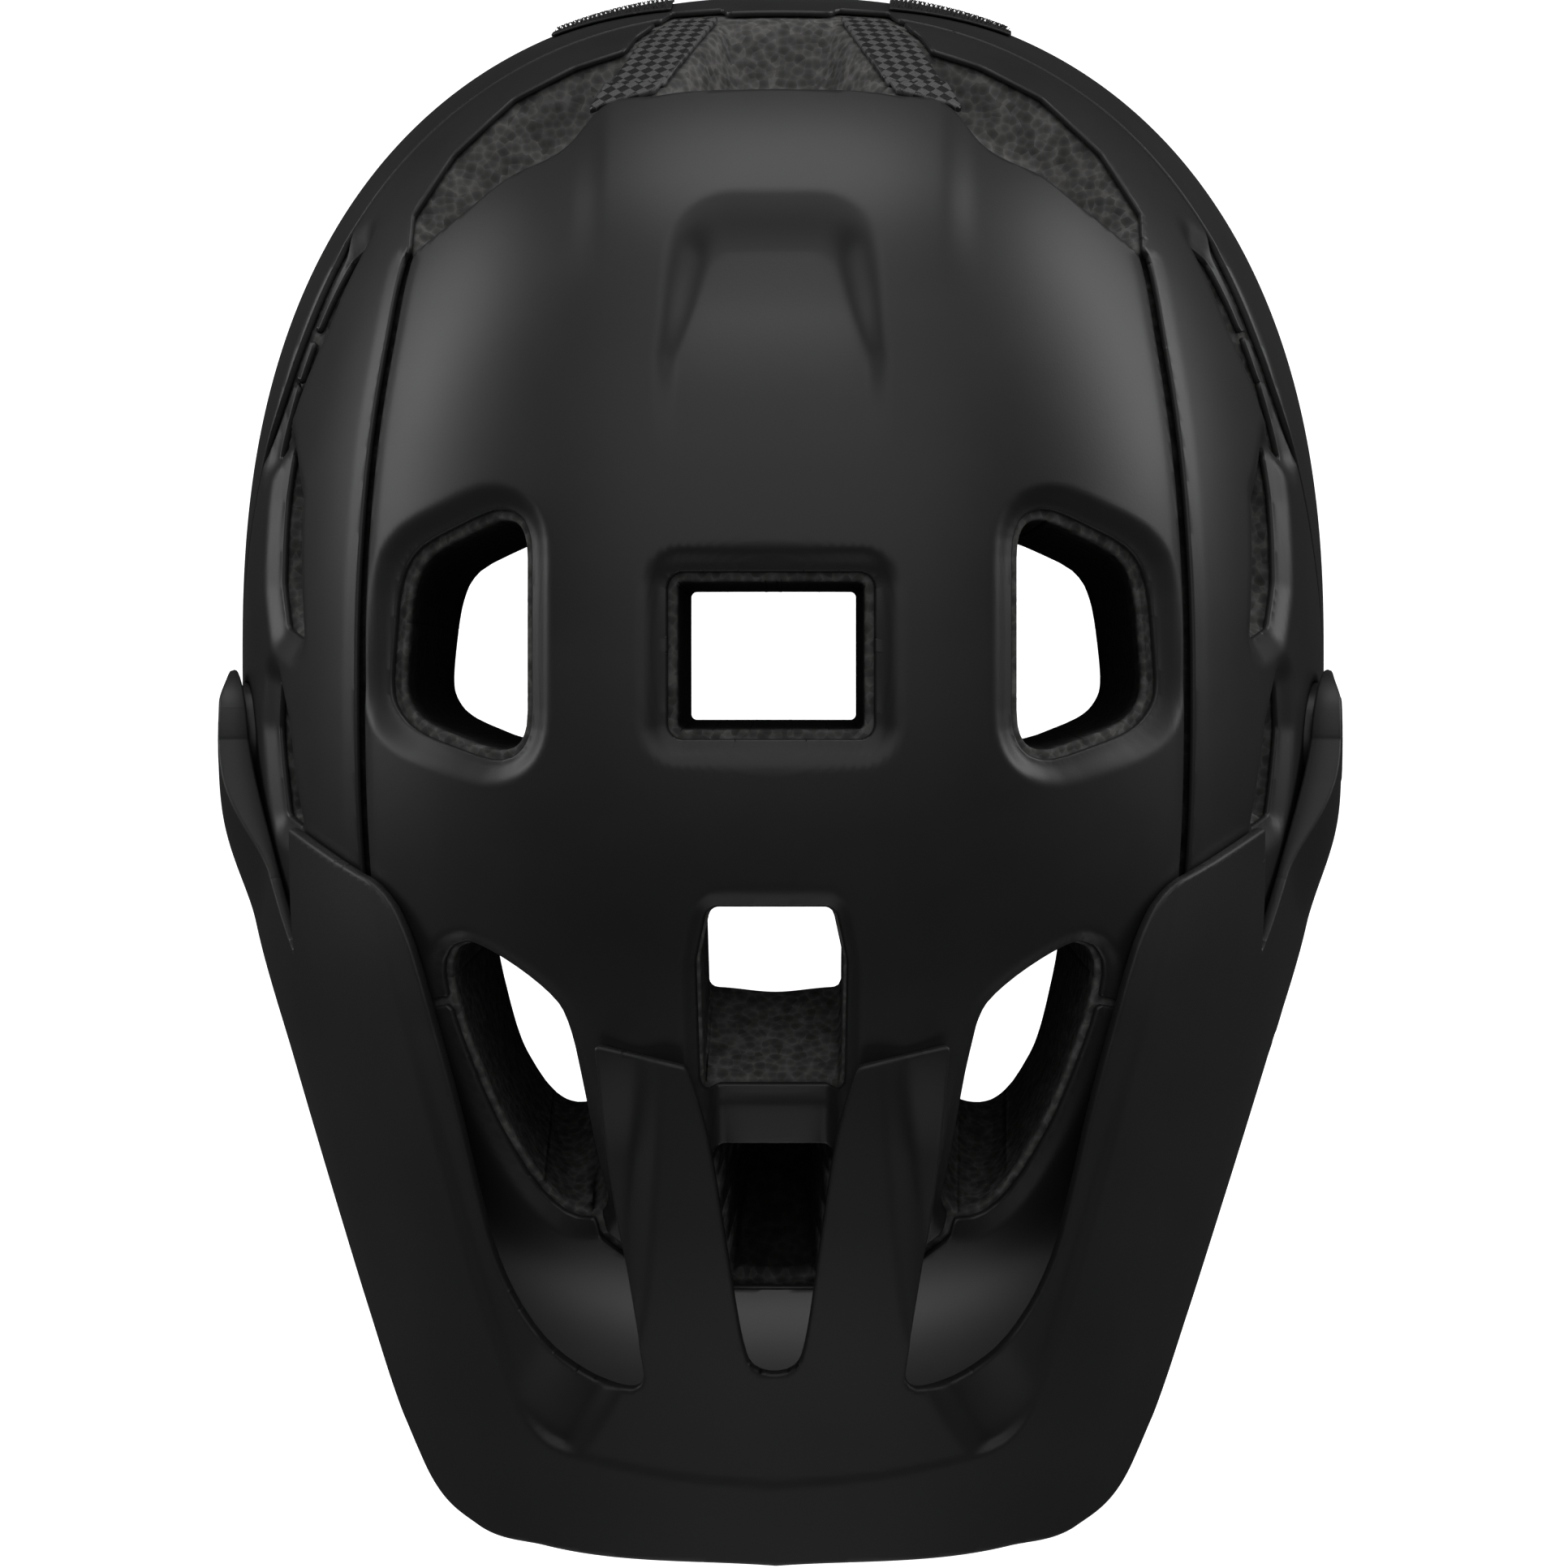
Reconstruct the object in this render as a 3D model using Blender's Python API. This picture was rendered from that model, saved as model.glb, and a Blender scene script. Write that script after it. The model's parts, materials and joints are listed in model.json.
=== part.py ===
"""Enduro cycling helmet: foam liner, in-mould shells, tilting visor, dial retention and chin straps.

Every length in this file is in millimetres until a mesh is made, which scales it by MM to metres.
+Z is up, -Y is the front and +X is the wearer's left. The origin is the middle of the head ring.
The domed pieces are sheets: a grid of directions laid on two surfaces, cut where a field crosses
zero, with walls between the two cut edges.
"""
import math

import bmesh
import bpy
import numpy as np
from mathutils import Matrix, Vector

MM = 0.001
GAP = 0.3

# Outer shell surface: a superellipsoid about the crown, longer to the front than to the rear.
CROWN_Y = 9.0
SHELL_HALF_WIDTH = 106.4
SHELL_FRONT = 149.0
SHELL_REAR = 129.0
SHELL_CROWN = 130.0
SHELL_PLAN_POWER = 2.35
SHELL_PROFILE_POWER = 2.25
SHELL_THICKNESS = 1.2
FOAM_INSET = SHELL_THICKNESS + GAP

# Head cavity surface.
CAVITY_HALF_WIDTH = 81.0
CAVITY_FRONT = 114.0
CAVITY_REAR = 92.0
CAVITY_CROWN = 103.0
CAVITY_SKIRT = 200.0
CAVITY_POWER = 2.1

# How far vent walls lean, by angle from the front (degrees): the cavity latitude drops by this share.
WALL_LEAN = ((0, 0.18), (40, 0.36), (90, 0.26), (180, 0.25))

# Height of the helmet's rim by angle from the front (degrees).
RIM = ((0, 12), (40, 6), (65, -18), (80, -26), (100, -16), (120, -22), (145, -42), (180, -50))

# Grid of the domed sheets.
AZIMUTHS = 60
LATITUDES = 17
LOWEST_LATITUDE = -0.42
HIGHEST_LATITUDE = 1.51
CUT_MARGIN = 0.06

# Seams between the shells. Each is a smooth line with a gap.
SEAM_GAP = 1.4
SIDE_SEAM = (
    (-60, 74), (-46, 76.2), (-28.6, 77.6), (-6.5, 78.2), (27, 77.5), (48.4, 75.7), (66.9, 73), (83.2, 70), (92, 67),
)
TAIL_EDGE = (
    (0, 114.2), (21.5, 113.1), (34, 110), (38.9, 104.5), (51.3, 97.6), (59.8, 90.9), (69.5, 83.3), (80, 74),
)
WRAP_EDGE = ((70, -40), (75, -22), (90, 18), (112, 44), (132, 50), (150, 48), (165, 46), (180, 46))
BROW_REGION = (
    (-50, -111), (10, -111), (24, -108), (32, -102), (37, -93), (43, -80), (48, -68), (55, -57), (66, -58), (80, -62),
    (130, -75), (130, -200), (-50, -200),
)

# Openings in plan, right-hand half; the left half mirrors it.
CENTRE_VENT = ((-16.5, -5.5), (16.5, -5.5), (16.5, 19.7), (-16.5, 19.7))
CENTRE_VENT_CORNER = 3.0
SIDE_TOP_VENT = (
    (47, 28), (51.5, 31.2), (62, 26.5), (65, 20), (66.6, 4), (65.5, 0.5), (61.5, -3.6), (50.4, -7.6), (47.4, -6),
)
FRONT_SIDE_VENT = (
    (60.5, -48.5), (54.2, -50.8), (44, -58), (41.2, -62.5), (39, -73.5),
    (36, -90.5), (34, -97.5), (41.5, -94.5), (51, -79), (58.5, -59.5),
)
VENT_CORNER = 3.0
SLOT_UPPER = ((-9.5, -42), (9.5, -42), (11, -50), (10.5, -72), (-10.5, -72), (-11, -50))
SLOT_LOWER = ((-9, -88), (9, -88), (6.5, -108), (-6.5, -108))
SLOT_CORNER = 2.5
CRESCENT = (
    (69.5, 83.3), (59.8, 90.9), (51.3, 97.6), (38.9, 104.5), (35, 110.5), (28.6, 123.7),
    (38.8, 120.4), (50.4, 114.3), (61.8, 103.3), (69.2, 91.4),
)
STRUT = ((23.6, 114.5), (35.4, 111.6), (28, 125.2), (25, 129.6), (14.3, 131.9), (18.5, 124.5))
REAR_CENTRE = ((-22.6, 114.5), (22.6, 114.5), (17.4, 124.5), (13.3, 131.5), (-13.3, 131.5), (-17.4, 124.5))
FOAM_EDGE = 1.2

# Visor: an arch for every distance along the helmet (Y, value) and the cuts that shape it.
VISOR_EDGE_X = (
    (-166, 62), (-150, 66.5), (-137, 72), (-118, 78.5), (-95, 86), (-70, 94), (-46, 101.5), (-30, 105.5),
    (-14, 108), (8, 108.8),
)
VISOR_EDGE_Z = ((-166, 62), (-140, 60), (-95, 48), (-50, 32), (-20, 23), (8, 20))
VISOR_TOP_Z = ((-166, 78), (-140, 90), (-100, 109), (-67, 121), (-37, 127.5), (-20, 129), (8, 129))
VISOR_DROP = 20.0
VISOR_POWER = 2.3
VISOR_THICKNESS = 2.2
VISOR_FRONT_EDGE = ((0, -165), (44, -161.5), (57, -158), (66.5, -149), (72, -137), (120, -60))
VISOR_BACK_CUT = (
    (0, 60), (140, 60), (96, -22), (81.5, -32), (73.5, -36.5), (68.5, -45), (59.5, -82),
    (54, -103), (44.5, -121), (31, -129.5), (26, -129), (25, -122), (27, -107), (32.8, -65.5),
    (15.5, -69.5), (10, -88), (4.8, -122), (3.4, -127), (-3.4, -127),
)
VISOR_NOTCH = ((-48, 68), (-18, 77), (40, 100), (40, 50), (-2, 50), (-14, 56))
VISOR_AZIMUTHS = 30
VISOR_ROWS = 20

# Visor pivot, on both sides.
PIVOT_Y = -8.0
PIVOT_Z = 36.0
ARM_RADIUS = 13.5
EYELET_RADIUS = 11.0
SCREW_HEAD_RADIUS = 9.2
SCREW_SHAFT_RADIUS = 4.0

# Retention ring: a superellipse about the crown axis in a tilted plane.
RING_HALF_WIDTH = 70.5
RING_REAR = 75.0
RING_POWER = 2.7
RING_THICKNESS = 1.4
TEMPLE_Y = -35.0
TEMPLE_Z = -2.0
RING_SLOPE = 0.441

# Straps.
STRAP_X = 80.0
STRAP_WIDTH = 15.0
STRAP_THICKNESS = 1.2
FRONT_ANCHOR_Y = -47.0
REAR_ANCHOR_Y = 60.0
DIVIDER_Y = 10.0
DIVIDER_TOP = -88.0
DIVIDER_BOTTOM = -112.0
BUCKLE_TOP = -176.0

COLOURS = {
    "shell": ((0.022, 0.022, 0.023), 0.42, 0.0),
    "foam": ((0.035, 0.034, 0.034), 0.85, 0.0),
    "visor": ((0.016, 0.016, 0.017), 0.5, 0.0),
    "weave": ((0.03, 0.03, 0.03), 0.45, 0.0),
    "nylon": ((0.02, 0.02, 0.022), 0.5, 0.0),
    "webbing": ((0.018, 0.018, 0.018), 0.8, 0.0),
    "padding": ((0.03, 0.03, 0.032), 0.9, 0.0),
    "hook_tape": ((0.012, 0.012, 0.012), 0.9, 0.0),
    "rubber": ((0.015, 0.015, 0.015), 0.75, 0.0),
    "steel": ((0.35, 0.35, 0.36), 0.35, 1.0),
}


# ---------------------------------------------------------------- objects and materials

def material(name):
    """The Principled material of one finish."""
    if name in bpy.data.materials:
        return bpy.data.materials[name]
    colour, roughness, metallic = COLOURS[name]
    made = bpy.data.materials.new(name)
    made.use_nodes = True
    shader = made.node_tree.nodes["Principled BSDF"]
    shader.inputs["Base Color"].default_value = (*colour, 1.0)
    shader.inputs["Roughness"].default_value = roughness
    shader.inputs["Metallic"].default_value = metallic
    made.diffuse_color = (*colour, 1.0)
    return made


def new_object(name, points, faces, finish, smooth_angle=40):
    """One closed body from points in millimetres, with its faces turned outward."""
    mesh = bpy.data.meshes.new(name)
    mesh.from_pydata([tuple(float(v) * MM for v in point) for point in points], [], faces)
    edit = bmesh.new()
    edit.from_mesh(mesh)
    bmesh.ops.recalc_face_normals(edit, faces=edit.faces)
    edit.to_mesh(mesh)
    edit.free()
    mesh.materials.append(material(finish))
    mesh.shade_smooth()
    mesh.set_sharp_from_angle(angle=math.radians(smooth_angle))
    made = bpy.data.objects.new(name, mesh)
    bpy.context.collection.objects.link(made)
    return made


def extrusion(name, outline, axis, low, high, finish):
    """A flat outline carried from low to high along axis 0, 1 or 2; outline holds the other two."""
    points = []
    for level in (low, high):
        for first, second in outline:
            point = [first, second]
            point.insert(axis, level)
            points.append(point)
    count = len(outline)
    faces = [tuple(range(count)), tuple(range(count, 2 * count))]
    for start in range(count):
        after = (start + 1) % count
        faces.append((start, after, after + count, start + count))
    return new_object(name, points, faces, finish)


def block(name, low, high, finish):
    """A box between two corners."""
    outline = ((low[0], low[1]), (high[0], low[1]), (high[0], high[1]), (low[0], high[1]))
    return extrusion(name, outline, 2, low[2], high[2], finish)


def circle(radius, centre, segments):
    """Points of a circle in a plane."""
    angles = [2 * math.pi * step / segments for step in range(segments)]
    return [(centre[0] + radius * math.cos(a), centre[1] + radius * math.sin(a)) for a in angles]


def cylinder(name, radius, axis, low, high, centre, finish, segments=16):
    """A round bar along axis 0, 1 or 2."""
    return extrusion(name, circle(radius, centre, segments), axis, low, high, finish)


def turned(name, profile, axis, centre, finish, segments=16):
    """A solid of revolution about axis 0, 1 or 2: profile holds (place along the axis, radius)."""
    points = []
    for place, radius in profile:
        for first, second in circle(radius, centre, segments):
            point = [first, second]
            point.insert(axis, place)
            points.append(point)
    rings = len(profile)
    faces = [tuple(range(segments)), tuple(range((rings - 1) * segments, rings * segments))]
    for ring in range(rings - 1):
        for step in range(segments):
            after = (step + 1) % segments
            base = ring * segments
            faces.append((base + step, base + after, base + segments + after, base + segments + step))
    return new_object(name, points, faces, finish)


def cut(target, cutter, operation="DIFFERENCE"):
    """Boolean of two closed bodies; the second one stays as a hidden guide."""
    step = target.modifiers.new(cutter.name, "BOOLEAN")
    step.operation = operation
    step.solver = "EXACT"
    step.object = cutter
    cutter.hide_render = True
    cutter.display_type = "WIRE"


# ---------------------------------------------------------------- curves and distances

def smooth_curve(place, knots):
    """Value of a smooth line through (place, value) knots, flat beyond both ends."""
    places, values = np.array(knots, dtype=float).T
    slopes = np.gradient(values, places)
    low = np.clip(np.searchsorted(places, place) - 1, 0, len(places) - 2)
    span = places[low + 1] - places[low]
    share = np.clip((place - places[low]) / span, 0.0, 1.0)
    square, cube = share ** 2, share ** 3
    return (
        (2 * cube - 3 * square + 1) * values[low]
        + (cube - 2 * square + share) * span * slopes[low]
        + (3 * square - 2 * cube) * values[low + 1]
        + (cube - square) * span * slopes[low + 1]
    )


def smooth_step(value, low, high):
    """0 below low, 1 above high, and an S between them."""
    share = np.clip((value - low) / (high - low), 0.0, 1.0)
    return share * share * (3 - 2 * share)


def outline_distance(first, second, outline):
    """Signed distance to a closed outline, negative inside it."""
    nearest = np.full(first.shape, np.inf)
    inside = np.zeros(first.shape, dtype=bool)
    for (ax, ay), (bx, by) in zip(outline, outline[1:] + outline[:1]):
        run, rise = bx - ax, by - ay
        along = ((first - ax) * run + (second - ay) * rise) / (run * run + rise * rise)
        along = np.clip(along, 0.0, 1.0)
        nearest = np.minimum(nearest, np.hypot(first - ax - along * run, second - ay - along * rise))
        if rise:
            crosses = (ay > second) != (by > second)
            inside ^= crosses & (first < run * (second - ay) / rise + ax)
    return np.where(inside, -nearest, nearest)


def lowest(*fields):
    """Pointwise minimum of fields: the common part of their regions."""
    result = fields[0]
    for field in fields[1:]:
        result = np.minimum(result, field)
    return result


# ---------------------------------------------------------------- the helmet's surfaces

def front_angle(x, y):
    """Angle round the crown from the front, 0 to 180 degrees on either side."""
    return np.degrees(np.arctan2(np.abs(x), CROWN_Y - y))


def plan_radius(azimuth, half_width, front, rear, power):
    """Distance from the crown axis to a superellipse, by azimuth from +X."""
    length = np.where(np.sin(azimuth) < 0, front, rear)
    across = (np.abs(np.cos(azimuth)) / half_width) ** power
    along = (np.abs(np.sin(azimuth)) / length) ** power
    return (across + along) ** (-1 / power)


def shell_point(azimuth, latitude):
    """Point of the outer shell surface."""
    radius = plan_radius(azimuth, SHELL_HALF_WIDTH, SHELL_FRONT, SHELL_REAR, SHELL_PLAN_POWER)
    radius = radius * np.abs(np.cos(latitude)) ** (2 / SHELL_PROFILE_POWER)
    height = SHELL_CROWN * np.sign(latitude) * np.abs(np.sin(latitude)) ** (2 / SHELL_PROFILE_POWER)
    return np.stack([radius * np.cos(azimuth), CROWN_Y + radius * np.sin(azimuth), height], axis=-1)


def shell_normal(point):
    """Outward unit normal of the shell surface: the gradient of its equation."""
    x, y, z = point[..., 0], point[..., 1] - CROWN_Y, point[..., 2]
    length = np.where(y < 0, SHELL_FRONT, SHELL_REAR)
    plan, profile = SHELL_PLAN_POWER, SHELL_PROFILE_POWER
    level = (np.abs(x) / SHELL_HALF_WIDTH) ** plan + (np.abs(y) / length) ** plan
    scale = level ** (profile / plan - 1)
    slope_x = scale * np.sign(x) * (np.abs(x) / SHELL_HALF_WIDTH) ** (plan - 1) / SHELL_HALF_WIDTH
    slope_y = scale * np.sign(y) * (np.abs(y) / length) ** (plan - 1) / length
    slope_z = np.sign(z) * (np.abs(z) / SHELL_CROWN) ** (profile - 1) / SHELL_CROWN
    normal = np.stack([slope_x, slope_y, slope_z], axis=-1)
    return normal / np.linalg.norm(normal, axis=-1, keepdims=True)


def cavity_point(azimuth, latitude):
    """Point of the head cavity that faces the shell point of the same direction."""
    shell = shell_point(azimuth, latitude)
    lean = smooth_curve(front_angle(shell[..., 0], shell[..., 1]), WALL_LEAN)
    dropped = np.where(latitude > 0, latitude - lean * np.sin(2 * latitude), latitude)
    height = SHELL_CROWN * np.sign(dropped) * np.abs(np.sin(dropped)) ** (2 / SHELL_PROFILE_POWER)
    squash = 1 - CAVITY_CROWN / SHELL_CROWN
    height = height * np.where(latitude > 0, 1 - squash * np.sin(latitude) ** 2, 1.0)
    limit = np.where(height > 0, CAVITY_CROWN, CAVITY_SKIRT)
    share = np.clip(1 - (np.abs(height) / limit) ** CAVITY_POWER, 0.0, 1.0) ** (1 / CAVITY_POWER)
    radius = share * plan_radius(azimuth, CAVITY_HALF_WIDTH, CAVITY_FRONT, CAVITY_REAR, CAVITY_POWER)
    return np.stack([radius * np.cos(azimuth), CROWN_Y + radius * np.sin(azimuth), height], axis=-1)


def toward_head(point, depth):
    """Cavity point moved into the cavity, toward a point under the crown."""
    focus = np.array([0.0, CROWN_Y, -20.0])
    direction = focus - point
    return point + depth * direction / np.linalg.norm(direction, axis=-1, keepdims=True)


# ---------------------------------------------------------------- sheets cut by a field

def clipped_triangles(field, closed):
    """Split each grid cell into two triangles and keep the part where the field is positive.

    Returns the corners as (point, point, share between them) and the kept polygons.
    """
    rows, columns = field.shape
    level = field.ravel()
    numbers = {}
    corners = []

    def corner(first, second):
        key = (min(first, second), max(first, second))
        if key not in numbers:
            share = 0.0
            if first != second:
                share = level[key[0]] / (level[key[0]] - level[key[1]])
                share = min(max(share, CUT_MARGIN), 1 - CUT_MARGIN)
            numbers[key] = len(corners)
            corners.append((*key, share))
        return numbers[key]

    polygons = []
    for row in range(rows - 1):
        for column in range(columns if closed else columns - 1):
            a = row * columns + column
            b = row * columns + (column + 1) % columns
            c = b + columns
            d = a + columns
            for triangle in ((a, b, c), (a, c, d)):
                ring = []
                for first, second in zip(triangle, triangle[1:] + triangle[:1]):
                    if level[first] > 0:
                        ring.append(corner(first, first))
                    if (level[first] > 0) != (level[second] > 0):
                        ring.append(corner(first, second))
                if len(ring) > 2:
                    polygons.append(ring)
    return corners, polygons


def sheet(name, outer, inner, field, finish, closed=True, smooth_angle=40):
    """A solid between two grids of points, cut where the field is not positive."""
    corners, polygons = clipped_triangles(field, closed)
    start, end, share = (np.array(column) for column in zip(*corners))
    share = share[:, None]
    points = []
    for grid in (outer.reshape(-1, 3), inner.reshape(-1, 3)):
        points.extend(grid[start] * (1 - share) + grid[end] * share)
    count = len(corners)
    faces = [tuple(ring) for ring in polygons]
    faces += [tuple(number + count for number in reversed(ring)) for ring in polygons]
    edges = {(a, b) for ring in polygons for a, b in zip(ring, ring[1:] + ring[:1])}
    for a, b in sorted(edges):
        if (b, a) not in edges:
            faces.append((b, a, a + count, b + count))
    return new_object(name, points, faces, finish, smooth_angle)


def dome_grid():
    """Azimuth and latitude of every grid point over the whole helmet."""
    azimuths = np.arange(AZIMUTHS) * 2 * math.pi / AZIMUTHS
    latitudes = np.linspace(LOWEST_LATITUDE, HIGHEST_LATITUDE, LATITUDES)
    return np.meshgrid(azimuths, latitudes)


def window_grid(azimuths, latitudes, steps):
    """Azimuth (from degrees) and latitude of the grid points of one patch."""
    return np.meshgrid(np.radians(np.linspace(*azimuths, steps[0])), np.linspace(*latitudes, steps[1]))


def mirrored(side, azimuths):
    """A left-hand azimuth window, or its mirror image for the right-hand side."""
    return azimuths if side > 0 else tuple(180 - angle for angle in reversed(azimuths))


# ---------------------------------------------------------------- fields of the shells and the liner

def seam_side(x, y):
    """Distance outside the seam between the top shell and the side shells."""
    return np.abs(x) - smooth_curve(y, SIDE_SEAM)


def behind_tail(x, y):
    """Distance behind the top shell's rear edge."""
    reach = np.abs(x)
    edge = smooth_curve(reach, TAIL_EDGE)
    steepness = np.abs(smooth_curve(reach + 1, TAIL_EDGE) - smooth_curve(reach - 1, TAIL_EDGE)) / 2
    return (y - edge) / np.hypot(1, steepness)


def above_rim(x, y, z):
    """Height above the helmet's rim."""
    return z - smooth_curve(front_angle(x, y), RIM)


def above_wrap(x, y, z):
    """Height above the rear shell's upper edge."""
    return z - smooth_curve(front_angle(x, y), WRAP_EDGE)


def ahead_of_brow_seam(x, y):
    """Distance ahead of the seam between the brow shell and the shells behind it."""
    return -outline_distance(np.abs(x), y, BROW_REGION)


def vent_distance(x, y, grow=0.0):
    """Distance outside every through vent, with the vents' edges moved out by grow."""
    reach = np.abs(x)
    return lowest(
        outline_distance(x, y, CENTRE_VENT) - CENTRE_VENT_CORNER,
        outline_distance(reach, y, SIDE_TOP_VENT) - VENT_CORNER,
        outline_distance(reach, y, FRONT_SIDE_VENT) - VENT_CORNER,
        outline_distance(x, y, SLOT_UPPER) - SLOT_CORNER,
    ) - grow


def hollow_depth(x, y):
    """Depth of the foam hollows that don't go through: rear crescents, rear centre, front channel."""
    crescent = smooth_step(-outline_distance(np.abs(x), y, CRESCENT), -1.0, 5.0)
    centre = smooth_step(-outline_distance(x, y, REAR_CENTRE), -1.0, 5.0)
    channel = smooth_step(-outline_distance(x, y, SLOT_LOWER), -2.5, 3.0)
    return 9.0 * crescent + 10.0 * centre + 9.0 * channel


def liner():
    """Foam liner, from rim to rim, with its vents and hollows."""
    azimuth, latitude = dome_grid()
    shell = shell_point(azimuth, latitude)
    x, y, z = (shell[..., axis] for axis in range(3))
    inset = FOAM_INSET + hollow_depth(x, y)
    outer = shell - inset[..., None] * shell_normal(shell)
    field = lowest(above_rim(x, y, z), vent_distance(x, y, -FOAM_EDGE))
    body = sheet("liner", outer, cavity_point(azimuth, latitude), field, "foam")
    for side, name in ((1, "left"), (-1, "right")):
        pocket = cylinder(
            f"pivot_pocket_{name}", EYELET_RADIUS + GAP, 0, side * 96.0, side * 112.0,
            (PIVOT_Y, PIVOT_Z), "foam",
        )
        cut(body, pocket)
    return body


def shell(name, field_of, half=0):
    """One shell of the outer skin; half is 1 for the left piece, -1 for the right and 0 for both."""
    surface = shell_point(*dome_grid())
    x, y, z = (surface[..., axis] for axis in range(3))
    field = lowest(field_of(x, y, z), above_rim(x, y, z))
    if half:
        field = np.minimum(field, half * x)
    return sheet(name, surface, surface - SHELL_THICKNESS * shell_normal(surface), field, "shell")


def patch(name, side, window, steps, field_of, stand_off, thickness, finish):
    """A small piece of skin over a window of the left-hand side, or its mirror image."""
    azimuths, latitudes = window
    surface = shell_point(*window_grid(mirrored(side, azimuths), latitudes, steps))
    normal = shell_normal(surface)
    outer = surface + stand_off * normal
    field = field_of(*(surface[..., axis] for axis in range(3)))
    return sheet(name, outer, outer - thickness * normal, field, finish, closed=False)


def top_shell_field(x, y, z):
    """Crown between the two seams, from the tail edge to the brow seam."""
    return lowest(
        -seam_side(x, y) - SEAM_GAP / 2,
        -behind_tail(x, y),
        -ahead_of_brow_seam(x, y) - SEAM_GAP / 2,
        vent_distance(x, y),
        outline_distance(x, y, SLOT_LOWER) - SLOT_CORNER,
    )


def side_shell_field(x, y, z):
    """Outside the seam, above the rear shell and round the outer edge of the crescent."""
    return lowest(
        np.maximum(seam_side(x, y), behind_tail(x, y)) - SEAM_GAP / 2,
        -ahead_of_brow_seam(x, y) - SEAM_GAP / 2,
        above_wrap(x, y, z) - SEAM_GAP / 2,
        outline_distance(np.abs(x), y, CRESCENT),
        outline_distance(np.abs(x), y, STRUT) - SEAM_GAP,
        outline_distance(x, y, REAR_CENTRE),
        np.abs(x) - 24.0,
        vent_distance(x, y),
    )


def rear_shell_field(x, y, z):
    """The band round the back, below the side shells and the struts."""
    return lowest(
        -above_wrap(x, y, z) - SEAM_GAP / 2,
        outline_distance(np.abs(x), y, STRUT) - SEAM_GAP,
        -ahead_of_brow_seam(x, y) - SEAM_GAP / 2,
    )


def brow_shell_field(x, y, z):
    """Everything ahead of the brow seam."""
    return lowest(
        ahead_of_brow_seam(x, y) - SEAM_GAP / 2,
        vent_distance(x, y),
        outline_distance(x, y, SLOT_LOWER) - SLOT_CORNER,
    )


def strut_field(x, y, z):
    """One strut beside the rear centre opening."""
    return -outline_distance(np.abs(x), y, STRUT)


def hook_pad_field(x, y, z):
    """A patch of hook tape on the rear shell."""
    reach = np.abs(x)
    top = 41.0 - 0.45 * (reach - 17.0)
    return lowest(reach - 17.0, 45.0 - reach, top - z, z - top + 24.0)


def shells():
    """Every piece of the outer skin."""
    shell("top_shell", top_shell_field)
    shell("brow_shell", brow_shell_field)
    shell("rear_shell", rear_shell_field)
    for side, name in ((1, "left"), (-1, "right")):
        body = shell(f"side_shell_{name}", side_shell_field, side)
        cut(body, bpy.data.objects[f"pivot_pocket_{name}"])
        window = ((68, 86), (0.28, 0.72))
        patch(f"strut_cover_{name}", side, window, (8, 12), strut_field, 0.0, SHELL_THICKNESS, "weave")
        window = ((68, 84), (-0.02, 0.36))
        patch(f"hook_pad_{name}", side, window, (6, 7), hook_pad_field, 1.0 + GAP, 1.0, "hook_tape")


# ---------------------------------------------------------------- visor

def visor_point(across, along):
    """Point of the visor's arch: across is an angle from +X over the top, along is Y."""
    edge_x = smooth_curve(along, VISOR_EDGE_X)
    edge_z = smooth_curve(along, VISOR_EDGE_Z)
    base = edge_z - VISOR_DROP
    rise = smooth_curve(along, VISOR_TOP_Z) - base
    half_width = edge_x / (1 - (VISOR_DROP / rise) ** VISOR_POWER) ** (1 / VISOR_POWER)
    x = half_width * np.sign(np.cos(across)) * np.abs(np.cos(across)) ** (2 / VISOR_POWER)
    z = base + rise * np.abs(np.sin(across)) ** (2 / VISOR_POWER)
    return np.stack([x, along, z], axis=-1)


def grid_normal(points):
    """Unit normal of a grid of points from its row and column directions."""
    normal = np.cross(np.gradient(points, axis=1), np.gradient(points, axis=0))
    return normal / np.linalg.norm(normal, axis=-1, keepdims=True)


def visor_field(x, y, z):
    """Inside the visor's outline, clear of the cuts that leave its fins, prongs and arms."""
    reach = np.abs(x)
    arm_end = ARM_RADIUS - np.hypot(y - PIVOT_Y, z - PIVOT_Z)
    return lowest(
        y - smooth_curve(reach, VISOR_FRONT_EDGE),
        z - smooth_curve(y, VISOR_EDGE_Z),
        np.maximum(outline_distance(reach, y, VISOR_BACK_CUT), 62.0 - z),
        outline_distance(y, z, VISOR_NOTCH),
        np.maximum(PIVOT_Y - y, arm_end),
    )


def visor():
    """Visor with a screw eyelet at the end of each arm."""
    ease = np.linspace(-1, 1, VISOR_AZIMUTHS)
    across = math.pi / 2 * (1 - ease * (0.72 + 0.28 * ease ** 2))
    along = np.linspace(8.0, -168.0, VISOR_ROWS)
    across, along = np.meshgrid(across, along)
    outer = visor_point(across, along)
    inner = outer - VISOR_THICKNESS * grid_normal(outer)
    field = visor_field(*(outer[..., axis] for axis in range(3)))
    body = sheet("visor", outer, inner, field, "visor", closed=False)
    for side, name in ((1, "left"), (-1, "right")):
        centre = (PIVOT_Y, PIVOT_Z)
        boss = cylinder(f"eyelet_{name}", EYELET_RADIUS - 0.5, 0, side * 104.6, side * 108.6, centre, "visor")
        recess = cylinder(f"recess_{name}", SCREW_HEAD_RADIUS + GAP, 0, side * 106.4, side * 118.0, centre, "visor")
        bore = cylinder(f"bore_{name}", SCREW_SHAFT_RADIUS + GAP, 0, side * 100.0, side * 110.0, centre, "visor")
        cut(body, boss, "UNION")
        cut(body, recess)
        cut(body, bore)
    return body


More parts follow.
